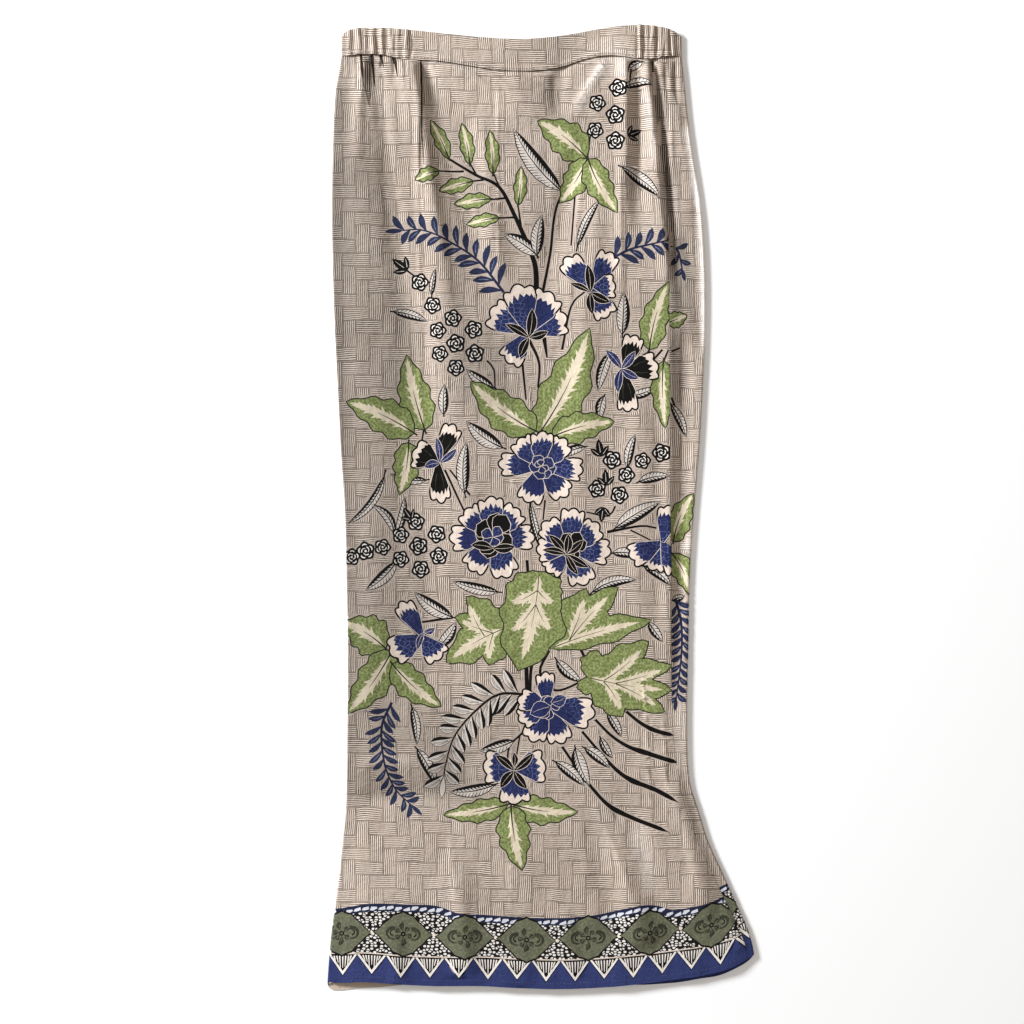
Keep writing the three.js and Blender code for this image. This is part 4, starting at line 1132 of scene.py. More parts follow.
def paint(centres, shapes):
    """The ink at each centre, from shapes in painter's order."""
    inks = np.full(len(centres), GROUND)
    low = centres.min(0)
    cells = ((centres - low) / CELL).astype(int)
    columns = cells[:, 0].max() + 1
    key = cells[:, 1] * columns + cells[:, 0]
    order = np.argsort(key, kind="stable")
    last_row = cells[:, 1].max()
    starts = np.searchsorted(key[order], np.arange(columns * (last_row + 2) + 1))
    for outline, ink in shapes:
        a = np.clip(((outline.min(0) - low) / CELL).astype(int), 0, None)
        b = ((outline.max(0) - low) / CELL).astype(int)
        b = np.minimum(b, (columns - 1, last_row))
        spans = [j * columns + np.array([a[0], b[0] + 1]) for j in range(a[1], b[1] + 1)]
        rows = [order[starts[first]:starts[last]] for first, last in spans]
        near = np.concatenate(rows) if rows and a[0] <= b[0] else np.zeros(0, int)
        if len(near):
            inks[near[inside(centres[near], outline)]] = ink
    return inks


print("in a disc, and beside it:", inside(np.array([[0.0, 0.0], [9.0, 0.0]]), disc(0, 0, 8.0, 12)))

# %% Cutting the flat cloth into triangles
SNAP = 1e-4  # mm, within which points are one
CLEARANCE = 0.8  # mm, between a drawn outline and the grid's own points
SHIFTS = ((0, 0), (0.5, 0), (0, 0.5), (0.5, 0.5))  # of the cells that test it


def triangulate(points, edges):
    """Points and triangles of a flat area that keeps the given edges."""
    result = delaunay_2d_cdt([Vector(p) for p in points.tolist()], edges, [], 0, SNAP, False)
    return np.array([v[:] for v in result[0]]), np.array(result[2], int)


def clear_of(grid, drawn):
    """Grid points that no drawn point lies close to."""
    taken = set()
    for shift in SHIFTS:
        for cell in np.unique((drawn / CLEARANCE + shift).astype(int), axis=0).tolist():
            taken.add((shift, tuple(cell)))
    keep = []
    for shift in SHIFTS:
        cells = (grid / CLEARANCE + shift).astype(int).tolist()
        keep.append([(shift, tuple(cell)) not in taken for cell in cells])
    return grid[np.all(keep, axis=0)]


def ring_edges(start, count):
    return [(start + i, start + (i + 1) % count) for i in range(count)]


def cut_out(outline, grid, shapes):
    """Points and triangles of a flat cloth, cut along its outline and every shape."""
    low, high = outline.min(0) - 1, outline.max(0) + 1
    drawn = [s for s, ink in shapes if (s.max(0) > low).all() and (s.min(0) < high).all()]
    points, edges = [outline], ring_edges(0, len(outline))
    count = len(outline)
    for shape in drawn:
        points.append(shape)
        edges += ring_edges(count, len(shape))
        count += len(shape)
    grid = grid[inside(grid, outline)]
    points.append(clear_of(grid, np.vstack(points)))
    flat, triangles = triangulate(np.vstack(points), edges)
    corners = flat[triangles]
    area = np.cross(corners[:, 1] - corners[:, 0], corners[:, 2] - corners[:, 0])
    triangles = triangles[inside(corners.mean(1), outline) & (np.abs(area) > 1e-9)]
    used, triangles = np.unique(triangles, return_inverse=True)
    return flat[used], triangles.reshape(-1, 3)


def rim_of(triangles):
    """The open edge of a mesh as one ring of point numbers, and the triangle at each step."""
    edges = np.concatenate([triangles[:, [0, 1]], triangles[:, [1, 2]], triangles[:, [2, 0]]])
    owner = np.tile(np.arange(len(triangles)), 3)
    known = set(map(tuple, edges.tolist()))
    ahead = {a: (b, t) for (a, b), t in zip(edges.tolist(), owner.tolist()) if (b, a) not in known}
    start = min(ahead)
    ring, owners, at = [], [], start
    while True:
        ring.append(at)
        at, owned = ahead[at]
        owners.append(owned)
        if at == start:
            return np.array(ring), np.array(owners), len(ahead)


print("triangles of a plain disc:", len(triangulate(disc(0, 0, 8.0, 12), ring_edges(0, 12))[1]))

# %% The points of the inside
COARSE = 1.0
GATHERS_END = 400.0  # mm down, where the steep folds end
LINING_STEP = 5.0  # mm, between points of the inside near the gathers
LINING_WIDE_STEP = 10.0  # mm, further down
LINING_DEPTH = 0.2  # mm, how far below the deepest trough the inside may lie
COLUMN_STEP = 6.0  # mm, between its points along the folded edges
FOLD_PLACES = (-2.0, 0.0, 1.5, 3.0, 4.5, ROUND_EDGE, ROUND_EDGE + 3)  # mm past the fold line
FACING_UP, FACING_DOWN = 0.5, -0.98  # how a direction's height tells the top from the underside


def grid_of(low, high, step):
    """An even grid of points. step is one number, or one across and one down."""
    across, down = (np.arange(a, b, c) for a, b, c in zip(low, high, np.broadcast_to(step, 2)))
    return np.stack(np.meshgrid(across, down), -1).reshape(-1, 2)


def fold_columns(low, high):
    """Extra points of the inside along the folded edges, where the cloth turns."""
    downs = np.arange(low[1] + COLUMN_STEP / 2, high[1] - COLUMN_STEP / 2, COLUMN_STEP)
    columns = []
    for edge_name, outward in OUTWARD.items():
        line = fold_line(edge_name, downs)
        columns += [np.stack([line + outward * past, downs], -1) for past in FOLD_PLACES]
    return np.vstack(columns)


def lining_of(edge, low, high):
    """Points and triangles of the inside, within the rim of the cloth."""
    grid = np.vstack([
        grid_of(low, (high[0], min(high[1], GATHERS_END)), LINING_STEP * COARSE),
        grid_of((low[0], GATHERS_END), high, LINING_WIDE_STEP * COARSE),
        fold_columns(low, high),
    ])
    grid = grid[inside(grid, edge)]
    lining, inner = triangulate(np.vstack([edge, grid]), ring_edges(0, len(edge)))
    return lining, inner[inside(lining[inner].mean(1), edge)]


def behind(flat, place):
    """Heights of the inside, kept behind the outer layer between its own wider points."""
    at, out = place(flat)
    heights = at[:, 2]
    reach = LINING_STEP * 0.7
    near = [place(flat + shift)[0][:, 2] for shift in ((reach, 0), (-reach, 0), (0, reach), (0, -reach))]
    lowest, highest = np.min([heights, *near], axis=0), np.max([heights, *near], axis=0)
    lowest = np.maximum(lowest, LOWEST_TOP - LINING_DEPTH)
    return np.select([out[:, 2] > FACING_UP, out[:, 2] < FACING_DOWN], [lowest, highest], heights)


print("columns of the inside at each folded edge:", len(FOLD_PLACES))

# %% Dyes on the triangles
CLOTH = 0.45  # mm, thickness of the cloth
DYE = linear(np.stack([INKS["red"], INKS["green"], INKS["blue"]], -1) / 255)
FINISH = np.stack([INKS["mat"], INKS["crackle"], INKS["stipple"]], -1)
LAYOUT_SHIFT = np.array([450.0, 0.0])  # keeps the flat measure positive in the texture map


def to_metres(places):
    return places * METRES + np.array([CENTRE_X, WAIST_Y, 0])


def dye_faces(mesh, face_inks):
    """Gives each triangle the dye and the finish of its ink."""
    for attribute, values in (("dye", DYE), ("finish", FINISH)):
        layer = mesh.color_attributes.new(attribute, "FLOAT_COLOR", "CORNER")
        full = np.ones((len(face_inks), 4), np.float32)
        full[:, :3] = values[face_inks]
        layer.data.foreach_set("color", np.repeat(full, 3, axis=0).ravel())
    pebble = mesh.attributes.new("pebble", "FLOAT", "CORNER")
    pebble.data.foreach_set("value", np.repeat(INKS["pebble"][face_inks], 3).astype(np.float32))


print("dyes:", len(DYE), "the palest:", DYE.max().round(2))

# %% From flat cloth to a shell
def cloth_shell(name, outline, grid, shapes, place, thickness=CLOTH, turned_up=None):
    """A closed shell of printed cloth. place() turns flat points into places and directions."""
    flat, triangles = cut_out(outline, grid, shapes)
    inks = paint(flat[triangles].mean(1), shapes)
    ring, owners, open_edges = rim_of(triangles)
    assert len(ring) == open_edges, f"{name}: the cloth's edge is not one ring"
    lining, inner = lining_of(flat[ring], outline.min(0), outline.max(0))
    outer_at, outer_out = place(flat)
    inner_at, inner_out = place(lining)
    inner_at[len(ring):, 2] = behind(lining[len(ring):], place)
    at = np.vstack([outer_at, inner_at - inner_out * thickness])

    # The outer triangles, those of the inside, and a rim of two for each open edge.
    first = len(flat)
    inner_ring = first + np.arange(len(ring))
    a, b, inner_a, inner_b = ring, np.roll(ring, -1), inner_ring, np.roll(inner_ring, -1)
    rim = np.concatenate([np.stack([a, b, inner_b], -1), np.stack([a, inner_b, inner_a], -1)])
    faces = np.concatenate([triangles[:, ::-1], inner + first, rim])
    inner_inks = np.full(len(inner), REVERSE)
    if turned_up:
        inner_inks[turned_up(lining[inner].mean(1))] = HEM_BLUE

    # The mesh, with its flat measure, its dyes and its true directions.
    mesh = bpy.data.meshes.new(name)
    places = to_metres(at)
    mesh.from_pydata(places.tolist(), [], faces.tolist())
    mesh.polygons.foreach_set("use_smooth", np.ones(len(faces), bool))
    measure = np.vstack([flat, lining]) + LAYOUT_SHIFT
    uv = mesh.uv_layers.new(name="layout")
    uv.data.foreach_set("uv", (measure[faces.ravel()] * METRES).ravel().astype(np.float32))
    dye_faces(mesh, np.concatenate([inks, inner_inks, inks[owners], inks[owners]]))
    # This attribute holds the painted shade and painted highlights of the bands, on upward-facing points
    # only.
    shade = mesh.attributes.new("painted_light_and_shade", "FLOAT", "POINT")
    on_top = np.concatenate([outer_out, inner_out])[:, 2] > 0
    shade.data.foreach_set("value", (folded(PAINTED_LIGHT_BANDS, at[:, 0], -at[:, 1]) * on_top).astype(np.float32))
    mesh.normals_split_custom_set_from_vertices(np.vstack([outer_out, -inner_out]).tolist())
    a, b, c = (places[faces[:, i]] for i in range(3))
    area = np.linalg.norm(np.cross(b - a, c - a), axis=1).sum() / 2
    print(f"{name}: {len(faces)} triangles, {area / 2:.4f} square metres of cloth")
    return add_object(name, mesh)

# %% [markdown]
# ## The two panels
# Both panels run from the waistband's seam to the hem. The front turns under at the left, and the
# back turns up at the right and ends at the side seam on the front. Rows of points lie closer
# together near the gathers, and columns lie closer together round the folded edges.

# %% Outlines and grids of the panels
SEAM_GAP = 0.3
UNDER_LEFT = 18.0  # how far the front runs on underneath, to the left side seam
SIDE_POINTS = 209  # of a panel's outline, along a seam
EDGE_COLUMNS = np.linspace(-1.6, ROUND_EDGE + 1.6, 13)  # past the fold line, round the edge
EDGE_CLEAR = 0.8  # mm, between those columns and the even ones
FINE_ROW, ROW = 2.5, 5.0  # mm between rows of points, near the gathers and below
FIRST_ROW, FINE_ROWS_END, LAST_ROW = 30, 200, 968
WAIST_LEVEL, FRONT_HEM_LEVEL, BACK_HEM_LEVEL = 32.0, 955.0, 950.0  # about where the cut edges lie
WAIST_POINTS, HEM_POINTS = 170, 200  # of a panel's outline
SETTLE = 8  # rounds until a point of the cut edge stays in its place


def front_ends(down):
    """Where the front's flat cloth starts and ends across."""
    left = fold_line("left", down) - ROUND_EDGE - (UNDER_LEFT - EDGE_RADIUS)
    return left, side("seam", down) - SEAM_GAP / 2


def back_ends(down):
    right = fold_line("right", down)
    under = right - (side("left", down) + UNDER_LEFT + SEAM_GAP)
    return side("seam", down) + SEAM_GAP / 2, right + ROUND_EDGE + under


def edge_down(s, down, edge_name, front, back):
    """How far down a cut edge lies where the cloth's own measure is s."""
    _, turn, _, x = round_edge(s, down, edge_name)
    return blend(cut_edge(front, x), cut_edge(back, x), turn / math.pi)


def along_cut(ends, edge_name, front, back, gap, start_down, count):
    """Points along a cut edge, from one end of the cloth to the other."""
    share = np.linspace(0, 1, count)
    down = np.full(count, start_down)
    for _ in range(SETTLE):
        s = blend(*ends(down), share)
        down = edge_down(s, down, edge_name, front, back) + gap
    return np.stack([blend(*ends(down), share), down], -1)


def panel_outline(ends, edge_name):
    """A panel's cut edge: the waist, one side, the hem and the other side."""
    upper = along_cut(ends, edge_name, BAND_LOW, BAND_LOW_BACK, SEAM_GAP, WAIST_LEVEL, WAIST_POINTS)
    lower = along_cut(ends, edge_name, HEM_FRONT, HEM_BACK, 0.0, FRONT_HEM_LEVEL, HEM_POINTS)
    run = np.linspace(0, 1, SIDE_POINTS)[1:-1]
    second = blend(upper[-1, 1], lower[-1, 1], run)
    first = blend(lower[0, 1], upper[0, 1], run)
    return np.vstack([
        upper,
        np.stack([ends(second)[1], second], -1),
        lower[::-1],
        np.stack([ends(first)[0], first], -1),
    ])


def panel_grid(ends, edge_name, columns):
    """Points between the cut edges, closer together near the gathers and round the folded edge."""
    fine_rows = np.arange(FIRST_ROW, FINE_ROWS_END, FINE_ROW * COARSE)
    rows = np.concatenate([fine_rows, np.arange(FINE_ROWS_END, LAST_ROW, ROW * COARSE)])
    first, last = ends(rows)
    across = first[:, None] + (last - first)[:, None] * np.linspace(0, 1, int(columns / COARSE))
    line = fold_line(edge_name, rows)[:, None]
    over = (across - line) * OUTWARD[edge_name]
    body = (over < EDGE_COLUMNS[0] - EDGE_CLEAR) | (over > EDGE_COLUMNS[-1] + EDGE_CLEAR)
    edge = line + OUTWARD[edge_name] * EDGE_COLUMNS
    downs, edge_downs = (np.broadcast_to(rows[:, None], places.shape) for places in (across, edge))
    near_edge = np.stack([edge, edge_downs], -1).reshape(-1, 2)
    return np.vstack([np.stack([across[body], downs[body]], -1), near_edge])


def front_hem(s):
    return edge_down(s, FRONT_HEM_LEVEL, "left", HEM_FRONT, HEM_BACK)


def back_hem(s):
    return edge_down(s, BACK_HEM_LEVEL, "right", HEM_FRONT, HEM_BACK)


TURN_UP, TURN_UP_END = 10.0, 420.0  # the back's turned-up hem: its depth, and where it ends across
SEAM_STEP, SEAM_STEP_START, SEAM_STEP_END = 11.0, 250, 330
FRONT_COLUMNS, BACK_COLUMNS = 126, 110
FRONT_BORDER, BACK_BORDER = (-215.0, 245.0), (150.0, 660.0)  # where the border runs across


def turned_up(flat):
    """Where the back's hem is turned up on the inside, near the seam."""
    return (flat[:, 1] > back_hem(flat[:, 0]) - TURN_UP) & (flat[:, 0] < TURN_UP_END)


def stepped_hem(s):
    """The back's print was laid a little higher than the front's where they meet at the seam."""
    return back_hem(s) - SEAM_STEP * (1 - ease(s, SEAM_STEP_START, SEAM_STEP_END))


print("flat width of the front at the hip:", np.diff(front_ends(250.0)).round(1), "mm")

# %% Front and back
front = cloth_shell(
    "front_cloth",
    panel_outline(front_ends, "left"),
    panel_grid(front_ends, "left", FRONT_COLUMNS),
    front_print + border(front_hem, *FRONT_BORDER),
    lay_front,
)
back = cloth_shell(
    "back_cloth",
    panel_outline(back_ends, "right"),
    panel_grid(back_ends, "right", BACK_COLUMNS),
    strip_print + border(stepped_hem, *BACK_BORDER),
    lay_back,
    turned_up=turned_up,
)

# %% [markdown]
# ## The waistband
# The middle of the front is a flat, interfaced strip. The rest is a casing with elastic inside:
# it shrinks in fine uneven ribs, which are deepest halfway between the two rows of stitching.

# %% The waistband's surface
BAND_LEVEL = 5.9
BAND_LIP, BAND_LIP_UP, BAND_LIP_WIDE = 0.8, 2.2, 2.0  # the raised lower edge
BAND_RELIEF = 1.05  # how deep the elastic gathers are
BAND_TOP, BAND_DEEP = 4, 26  # mm, where the stretch between the rows of stitching starts, and its depth
FLAT_BAND_RIGHT = 124.5
WAIST_HALF, UNDER_HALF = 170, 168  # mm, half the waist's width, and half that of the ribs underneath
CASINGS = table("start end crests high", (-166, -100.5, 8, 1.1), (124.5, 166, 6, 1.3))
CASING_RIBS = table(  # finer ribs of the gathered casing: place across, half width and height
    "x wide high",
    (-163, 1.6, 1.0), (-157.5, 2.2, -0.8), (-152, 1.5, 1.2), (-145, 1.8, -0.9), (-139.5, 1.3, 1.1),
    (-134, 2.0, -0.9), (-128.5, 1.4, 1.2), (-122, 1.7, -0.8), (-117, 1.4, 0.9), (-111, 2.0, -0.8),
    (-105.5, 1.5, 0.8), (-101.2, 0.9, -1.3), (125.2, 0.9, -1.3), (129, 1.4, 1.1), (134.5, 1.9, -0.9),
    (140, 1.4, 1.3), (145.5, 2.0, -1.0), (151, 1.3, 1.2), (156.5, 1.8, -0.8), (161, 1.4, 1.0),
)


def between_rows(down):
    """0 at the waistband's two rows of stitching, and 1 halfway."""
    return np.sin(math.pi * np.clip((down - BAND_TOP) / BAND_DEEP, 0, 1))


def casing_ribs(x, down):
    ribs = np.zeros(np.shape(x))
    for place, wide, high in zip(*CASING_RIBS.values()):
        sway = 1.3 * np.sin(place + down / 9)
        ribs += high * np.exp(-(((x - place - sway) / wide) ** 2))
    return ribs * (0.55 + 0.45 * between_rows(down))


def band_top(x, down):
    inset = from_edge(x, np.clip(down, 0, 30))
    level = blend(2 * EDGE_RADIUS, BAND_LEVEL, ease(inset, 0, LOFT_REACH / 2))
    rise = casing_ribs(x, down)
    for start, end, crests, high in zip(*CASINGS.values()):
        share = np.clip((x - start) / (end - start), 0, 1)
        rise = rise + high * (1 - np.cos(share * crests * 2 * math.pi)) / 2
    quiet = 0.18 * np.sin(x / 19 + down / 11) * ease(inset, 0, LOFT_REACH)
    lip = BAND_LIP * np.exp(-(((cut_edge(BAND_LOW, x) - down - BAND_LIP_UP) / BAND_LIP_WIDE) ** 2))
    return level + (rise * BAND_RELIEF + quiet + lip) * ease(inset, 0, FOLD_START)


def band_under(x, down):
    """Ribs pressed up into the casing underneath, all across the back."""
    inset = UNDER_HALF - np.abs(x)
    ribs = np.abs(np.sin(x / 5.3 + 0.4 * np.sin(x / 17))) * (0.8 + 0.3 * np.sin(x / 31))
    return np.clip(ribs * (0.5 + 0.5 * between_rows(down)), 0, None) * ease(inset, 0, FOLD_START)


print("waistband level:", band_top(np.array([0.0]), np.array([20.0])).round(2), "mm")

# %% The two stretches of waistband
RIGHT_X, LEFT_X = WAIST_HALF - EDGE_RADIUS, -WAIST_HALF + EDGE_RADIUS
MID_BAND = 20.0  # mm down
CASING_START = FLAT_BAND_RIGHT + SEAM_GAP
CASING_STOPS = np.cumsum([  # along the casing: where each of its five stretches starts, and its end
    0, RIGHT_X - CASING_START, ROUND_EDGE, RIGHT_X - LEFT_X, ROUND_EDGE, FLAT_BAND_LEFT - SEAM_GAP - LEFT_X,
])
BAND_CLOTH = 1.2  # mm, doubled cloth over its elastic or interfacing
BAND_DEPTH, BAND_ROW = 48, 2.4  # mm, of its grid of points and between rows
CASING_STEP, FLAT_STEP = 1.25, 3.0  # mm between columns
CASING_POINTS, FLAT_POINTS = 360, 120  # of each long edge


def lay_casing(flat):
    """The elastic casing: on top at the right, round, underneath, round, on top at the left."""
    s, down = flat[:, 0], flat[:, 1]
    a, b, c, d, e, _ = CASING_STOPS
    turn = np.clip((s - b) / EDGE_RADIUS, 0, math.pi)
    back_turn = np.clip((s - d) / EDGE_RADIUS, 0, math.pi)
    x = CASING_START + np.clip(s, a, b) + EDGE_RADIUS * np.sin(turn) - np.clip(s - c, 0, d - c)
    x = x - EDGE_RADIUS * np.sin(back_turn) + np.clip(s - e, 0, None)
    on_top, under = (s < b) | (s > e), (s > c) & (s < d)
    angle = np.where(s < (c + d) / 2, turn, math.pi - back_turn)
    outward = np.where(s < (c + d) / 2, 1.0, -1.0)
    z = EDGE_RADIUS * (1 + np.cos(angle))
    z = np.select([on_top, under], [band_top(x, down), band_under(x, down)], z)
    facing = np.stack([outward * np.sin(angle), 0 * angle, np.cos(angle)], -1)
    tops, lows = slope_of(band_top, x, down), -slope_of(band_under, x, down)
    return np.stack([x, -down, z], -1), np.select([on_top[:, None], under[:, None]], [tops, lows], facing)


def lay_flat_band(flat):
    x, down = flat[:, 0], flat[:, 1]
    return np.stack([x, -down, band_top(x, down)], -1), slope_of(band_top, x, down)


def casing_edge(s, front, back):
    """How far down the casing's edges lie."""
    places, _ = lay_casing(np.stack([s, np.full(len(s), MID_BAND)], -1))
    a, b, c, d, e, _ = CASING_STOPS
    under = ease(s, b, c) * (1 - ease(s, d, e))
    return blend(cut_edge(front, places[:, 0]), cut_edge(back, places[:, 0]), under)


def band_shell(name, s, upper, lower, place, grid_step):
    """A stretch of waistband between two cut edges."""
    outline = np.vstack([np.stack([s, upper], -1), np.stack([s, lower], -1)[::-1]])
    grid = grid_of((s[0], 0), (s[-1], BAND_DEPTH), (grid_step, BAND_ROW))
    return cloth_shell(name, outline, grid, [], place, thickness=BAND_CLOTH)


run = np.linspace(0, CASING_STOPS[-1], CASING_POINTS)
casing = band_shell("casing", run, casing_edge(run, WAIST_TOP, WAIST_TOP),
                    casing_edge(run, BAND_LOW, BAND_LOW_BACK), lay_casing, CASING_STEP * COARSE)
run = np.linspace(FLAT_BAND_LEFT, FLAT_BAND_RIGHT, FLAT_POINTS)
flat_band = band_shell("flat_band", run, cut_edge(WAIST_TOP, run), cut_edge(BAND_LOW, run),
                       lay_flat_band, FLAT_STEP)

# %% [markdown]
# ## Sewing
# Short raised threads show where the pieces are sewn: a row along the waistband's lower edge, and
# a row that holds the turned-up hem, on the front and on the back.

# %% Rows of stitches
STITCH_PITCH, STITCH_LENGTH, STITCH_WIDE, STITCH_HIGH = 3.4, 2.3, 0.5, 0.22  # mm
STITCH_SUNK = 0.1  # mm that the ends go into the cloth
BAND_STITCH_UP, HEM_STITCH_UP = 2.0, 5.5  # mm above the waistband's lower edge, and above the hem
HEM_ROW_FRONT, HEM_ROW_BACK = (-172.0, 230.0), (252.0, 640.0)  # where the hem's rows run across
LOWEST_STITCH = -0.25  # mm, just clear of the floor


def stitches(name, rows):
    """Threads along rows. A row is a pair: its flat points, and the function that lays them."""
    points, faces = [], []
    for flat, place in rows:
        ahead = unit(np.gradient(flat, axis=0))
        start, out = place(flat - ahead * STITCH_LENGTH / 2)
        end, _ = place(flat + ahead * STITCH_LENGTH / 2)
        aside = np.cross(end - start, out)
        aside *= STITCH_WIDE / 2 / np.linalg.norm(aside, axis=1, keepdims=True)
        shapes = [start - out * STITCH_SUNK]
        for share in (0.25, 0.75):
            middle = blend(start, end, share)
            shapes += [middle - aside, middle + out * STITCH_HIGH, middle + aside]
        shapes.append(end - out * STITCH_SUNK)
        shapes = np.stack(shapes, 1)
        for stitch in shapes:
            a = len(points)
            points += stitch.tolist()
            faces += [(a, a + 1, a + 2), (a, a + 2, a + 3), (a + 7, a + 5, a + 4), (a + 7, a + 6, a + 5),
                      (a + 1, a + 4, a + 5, a + 2), (a + 2, a + 5, a + 6, a + 3),
                      (a, a + 3, a + 6, a + 7, a + 4, a + 1)]
    points = np.array(points)
    points[:, 2] = np.maximum(points[:, 2], LOWEST_STITCH)
    mesh = bpy.data.meshes.new(name)
    mesh.from_pydata(to_metres(points).tolist(), [], faces)
    print(name, "has", len(faces) // 7, "stitches")
    return add_object(name, mesh)


s_band = np.arange(FLAT_BAND_LEFT + 3, FLAT_BAND_RIGHT - 3, STITCH_PITCH)
s_casing = np.arange(2.0, CASING_STOPS[-1] - 2, STITCH_PITCH)
waist_thread = stitches("waist_stitches", [
    (np.stack([s_band, cut_edge(BAND_LOW, s_band) - BAND_STITCH_UP], -1), lay_flat_band),
    (np.stack([s_casing, casing_edge(s_casing, BAND_LOW, BAND_LOW_BACK) - BAND_STITCH_UP], -1), lay_casing),
])
s_front, s_back = (np.arange(*row, STITCH_PITCH) for row in (HEM_ROW_FRONT, HEM_ROW_BACK))
hem_thread = stitches("hem_stitches", [
    (np.stack([s_front, front_hem(s_front) - HEM_STITCH_UP], -1), lay_front),
    (np.stack([s_back, back_hem(s_back) - HEM_STITCH_UP], -1), lay_back),
])

# %% [markdown]
# ## Shader maths
# The finish is worked out from the cloth's flat measure. To keep the arithmetic readable, a small
# class wraps a socket, so that an expression such as 1 - mask adds its own Math nodes.

# %% A value that flows through a material
class Flow:
    """A socket that takes part in arithmetic. New nodes go into the class's own tree."""

    tree = None

    def __init__(self, socket):
        self.socket = socket

    def __add__(self, other):
        return maths("ADD", self, other)

    def __sub__(self, other):
        return maths("SUBTRACT", self, other)

    def __mul__(self, other):
        return maths("MULTIPLY", self, other)

    def __truediv__(self, other):
        return maths("DIVIDE", self, other)

    def __lt__(self, other):
        return maths("LESS_THAN", self, other)

    def __gt__(self, other):
        return maths("GREATER_THAN", self, other)

    def __rsub__(self, other):
        return maths("SUBTRACT", other, self)

    __radd__ = __add__
    __rmul__ = __mul__

# %% Nodes from one method
def feed(made, **sockets):
    """Sets or links a node's sockets by name, or by number after an underscore."""
    for name, value in sockets.items():
        key = int(name[1:]) if name[0] == "_" else name.replace("_", " ")
        if isinstance(value, Flow):
            Flow.tree.links.new(value.socket, made.inputs[key])
        else:
            made.inputs[key].default_value = value
    return made


def node(kind, settings=None, **sockets):
    """Adds a node: its settings first, then its sockets."""
    made = Flow.tree.nodes.new("ShaderNode" + kind)
    for name, value in (settings or {}).items():
        setattr(made, name, value)
    return feed(made, **sockets)


def flow(kind, settings=None, output=0, **sockets):
    """Adds a node, and gives one of its outputs."""
    return Flow(node(kind, settings, **sockets).outputs[output])


def maths(operation, *values):
    sockets = {f"_{i}": value for i, value in enumerate(values)}
    return flow("Math", {"operation": operation}, **sockets)


def mix(share, a, b):
    """Two colours mixed by a share."""
    return flow("Mix", {"data_type": "RGBA"}, 2, _0=share, _6=a, _7=b)


def soften(value, low, high):
    """0 below low, 1 above high, smooth between."""
    return flow("MapRange", {"interpolation_type": "SMOOTHSTEP"}, Value=value, From_Min=low, From_Max=high)


def noise(where, scale, detail, output=0):
    return flow("TexNoise", {"noise_dimensions": "2D"}, output, Vector=where, Scale=scale, Detail=detail)


def attribute(name, output):
    """What a mesh stores under a name."""
    return flow("Attribute", {"attribute_name": name}, output)


def srgb(*display):
    """A display colour as the linear values that a shader takes."""
    return (*linear(np.array(display) / 255).tolist(), 1.0)


def new_material(name):
    """A material and its shader. Nodes go into its tree from here on."""
    material = bpy.data.materials.new(name)
    material.use_nodes = True
    Flow.tree = material.node_tree
    return material, Flow.tree.nodes["Principled BSDF"]

# %% [markdown]
# ## Printed cotton
# The ground is drawn as a mat of woven strips: pairs of cells, filled with fine lines that run
# across or down by turns. The dye pools and fades in slow blotches. Petals are crackled where the
# wax broke, leaves are stippled, and the black of the border is full of white pebbles. The painted
# shade and painted highlights of the bands come last. Under it all lies a plain weave with a soft nap.

# %% Colours and sizes of the finish
CELL_SIZE = 13.5  # mm, of one cell of the mat
LINES_PER_CELL = 7
LINE_DARK, LINE_LIGHT, BLOTCH = srgb(44, 33, 25), srgb(232, 220, 208), srgb(160, 139, 122)
CRACK, SPECK, PEBBLE = srgb(128, 140, 186), srgb(20, 26, 66), srgb(234, 228, 222)
STIPPLE_PALE, STIPPLE_DEEP, STIPPLE_FADED = srgb(164, 172, 122), srgb(88, 98, 48), srgb(96, 106, 56)
# A painted highlight: the pale, washed-out colour of the cloth where the bands are lightest.
PAINTED_HIGHLIGHT = srgb(224, 220, 218)
DRIFT = (4.6, 4.6, 0)  # mm that the mat's lines wander
PEBBLES_PER_MM = (0.23, 0.34, 1.0)
THREAD = 0.62  # mm between threads of the weave
PLY = 0.0004  # metres between the plies of the sewing thread
WHOLE_TURN = 2 * math.pi
THREAD_SHADE, BEIGE_THREAD, BLUE_THREAD = srgb(60, 54, 56), srgb(150, 134, 120), srgb(64, 74, 122)
print("threads of the weave:", round(10 / THREAD, 1), "per centimetre")

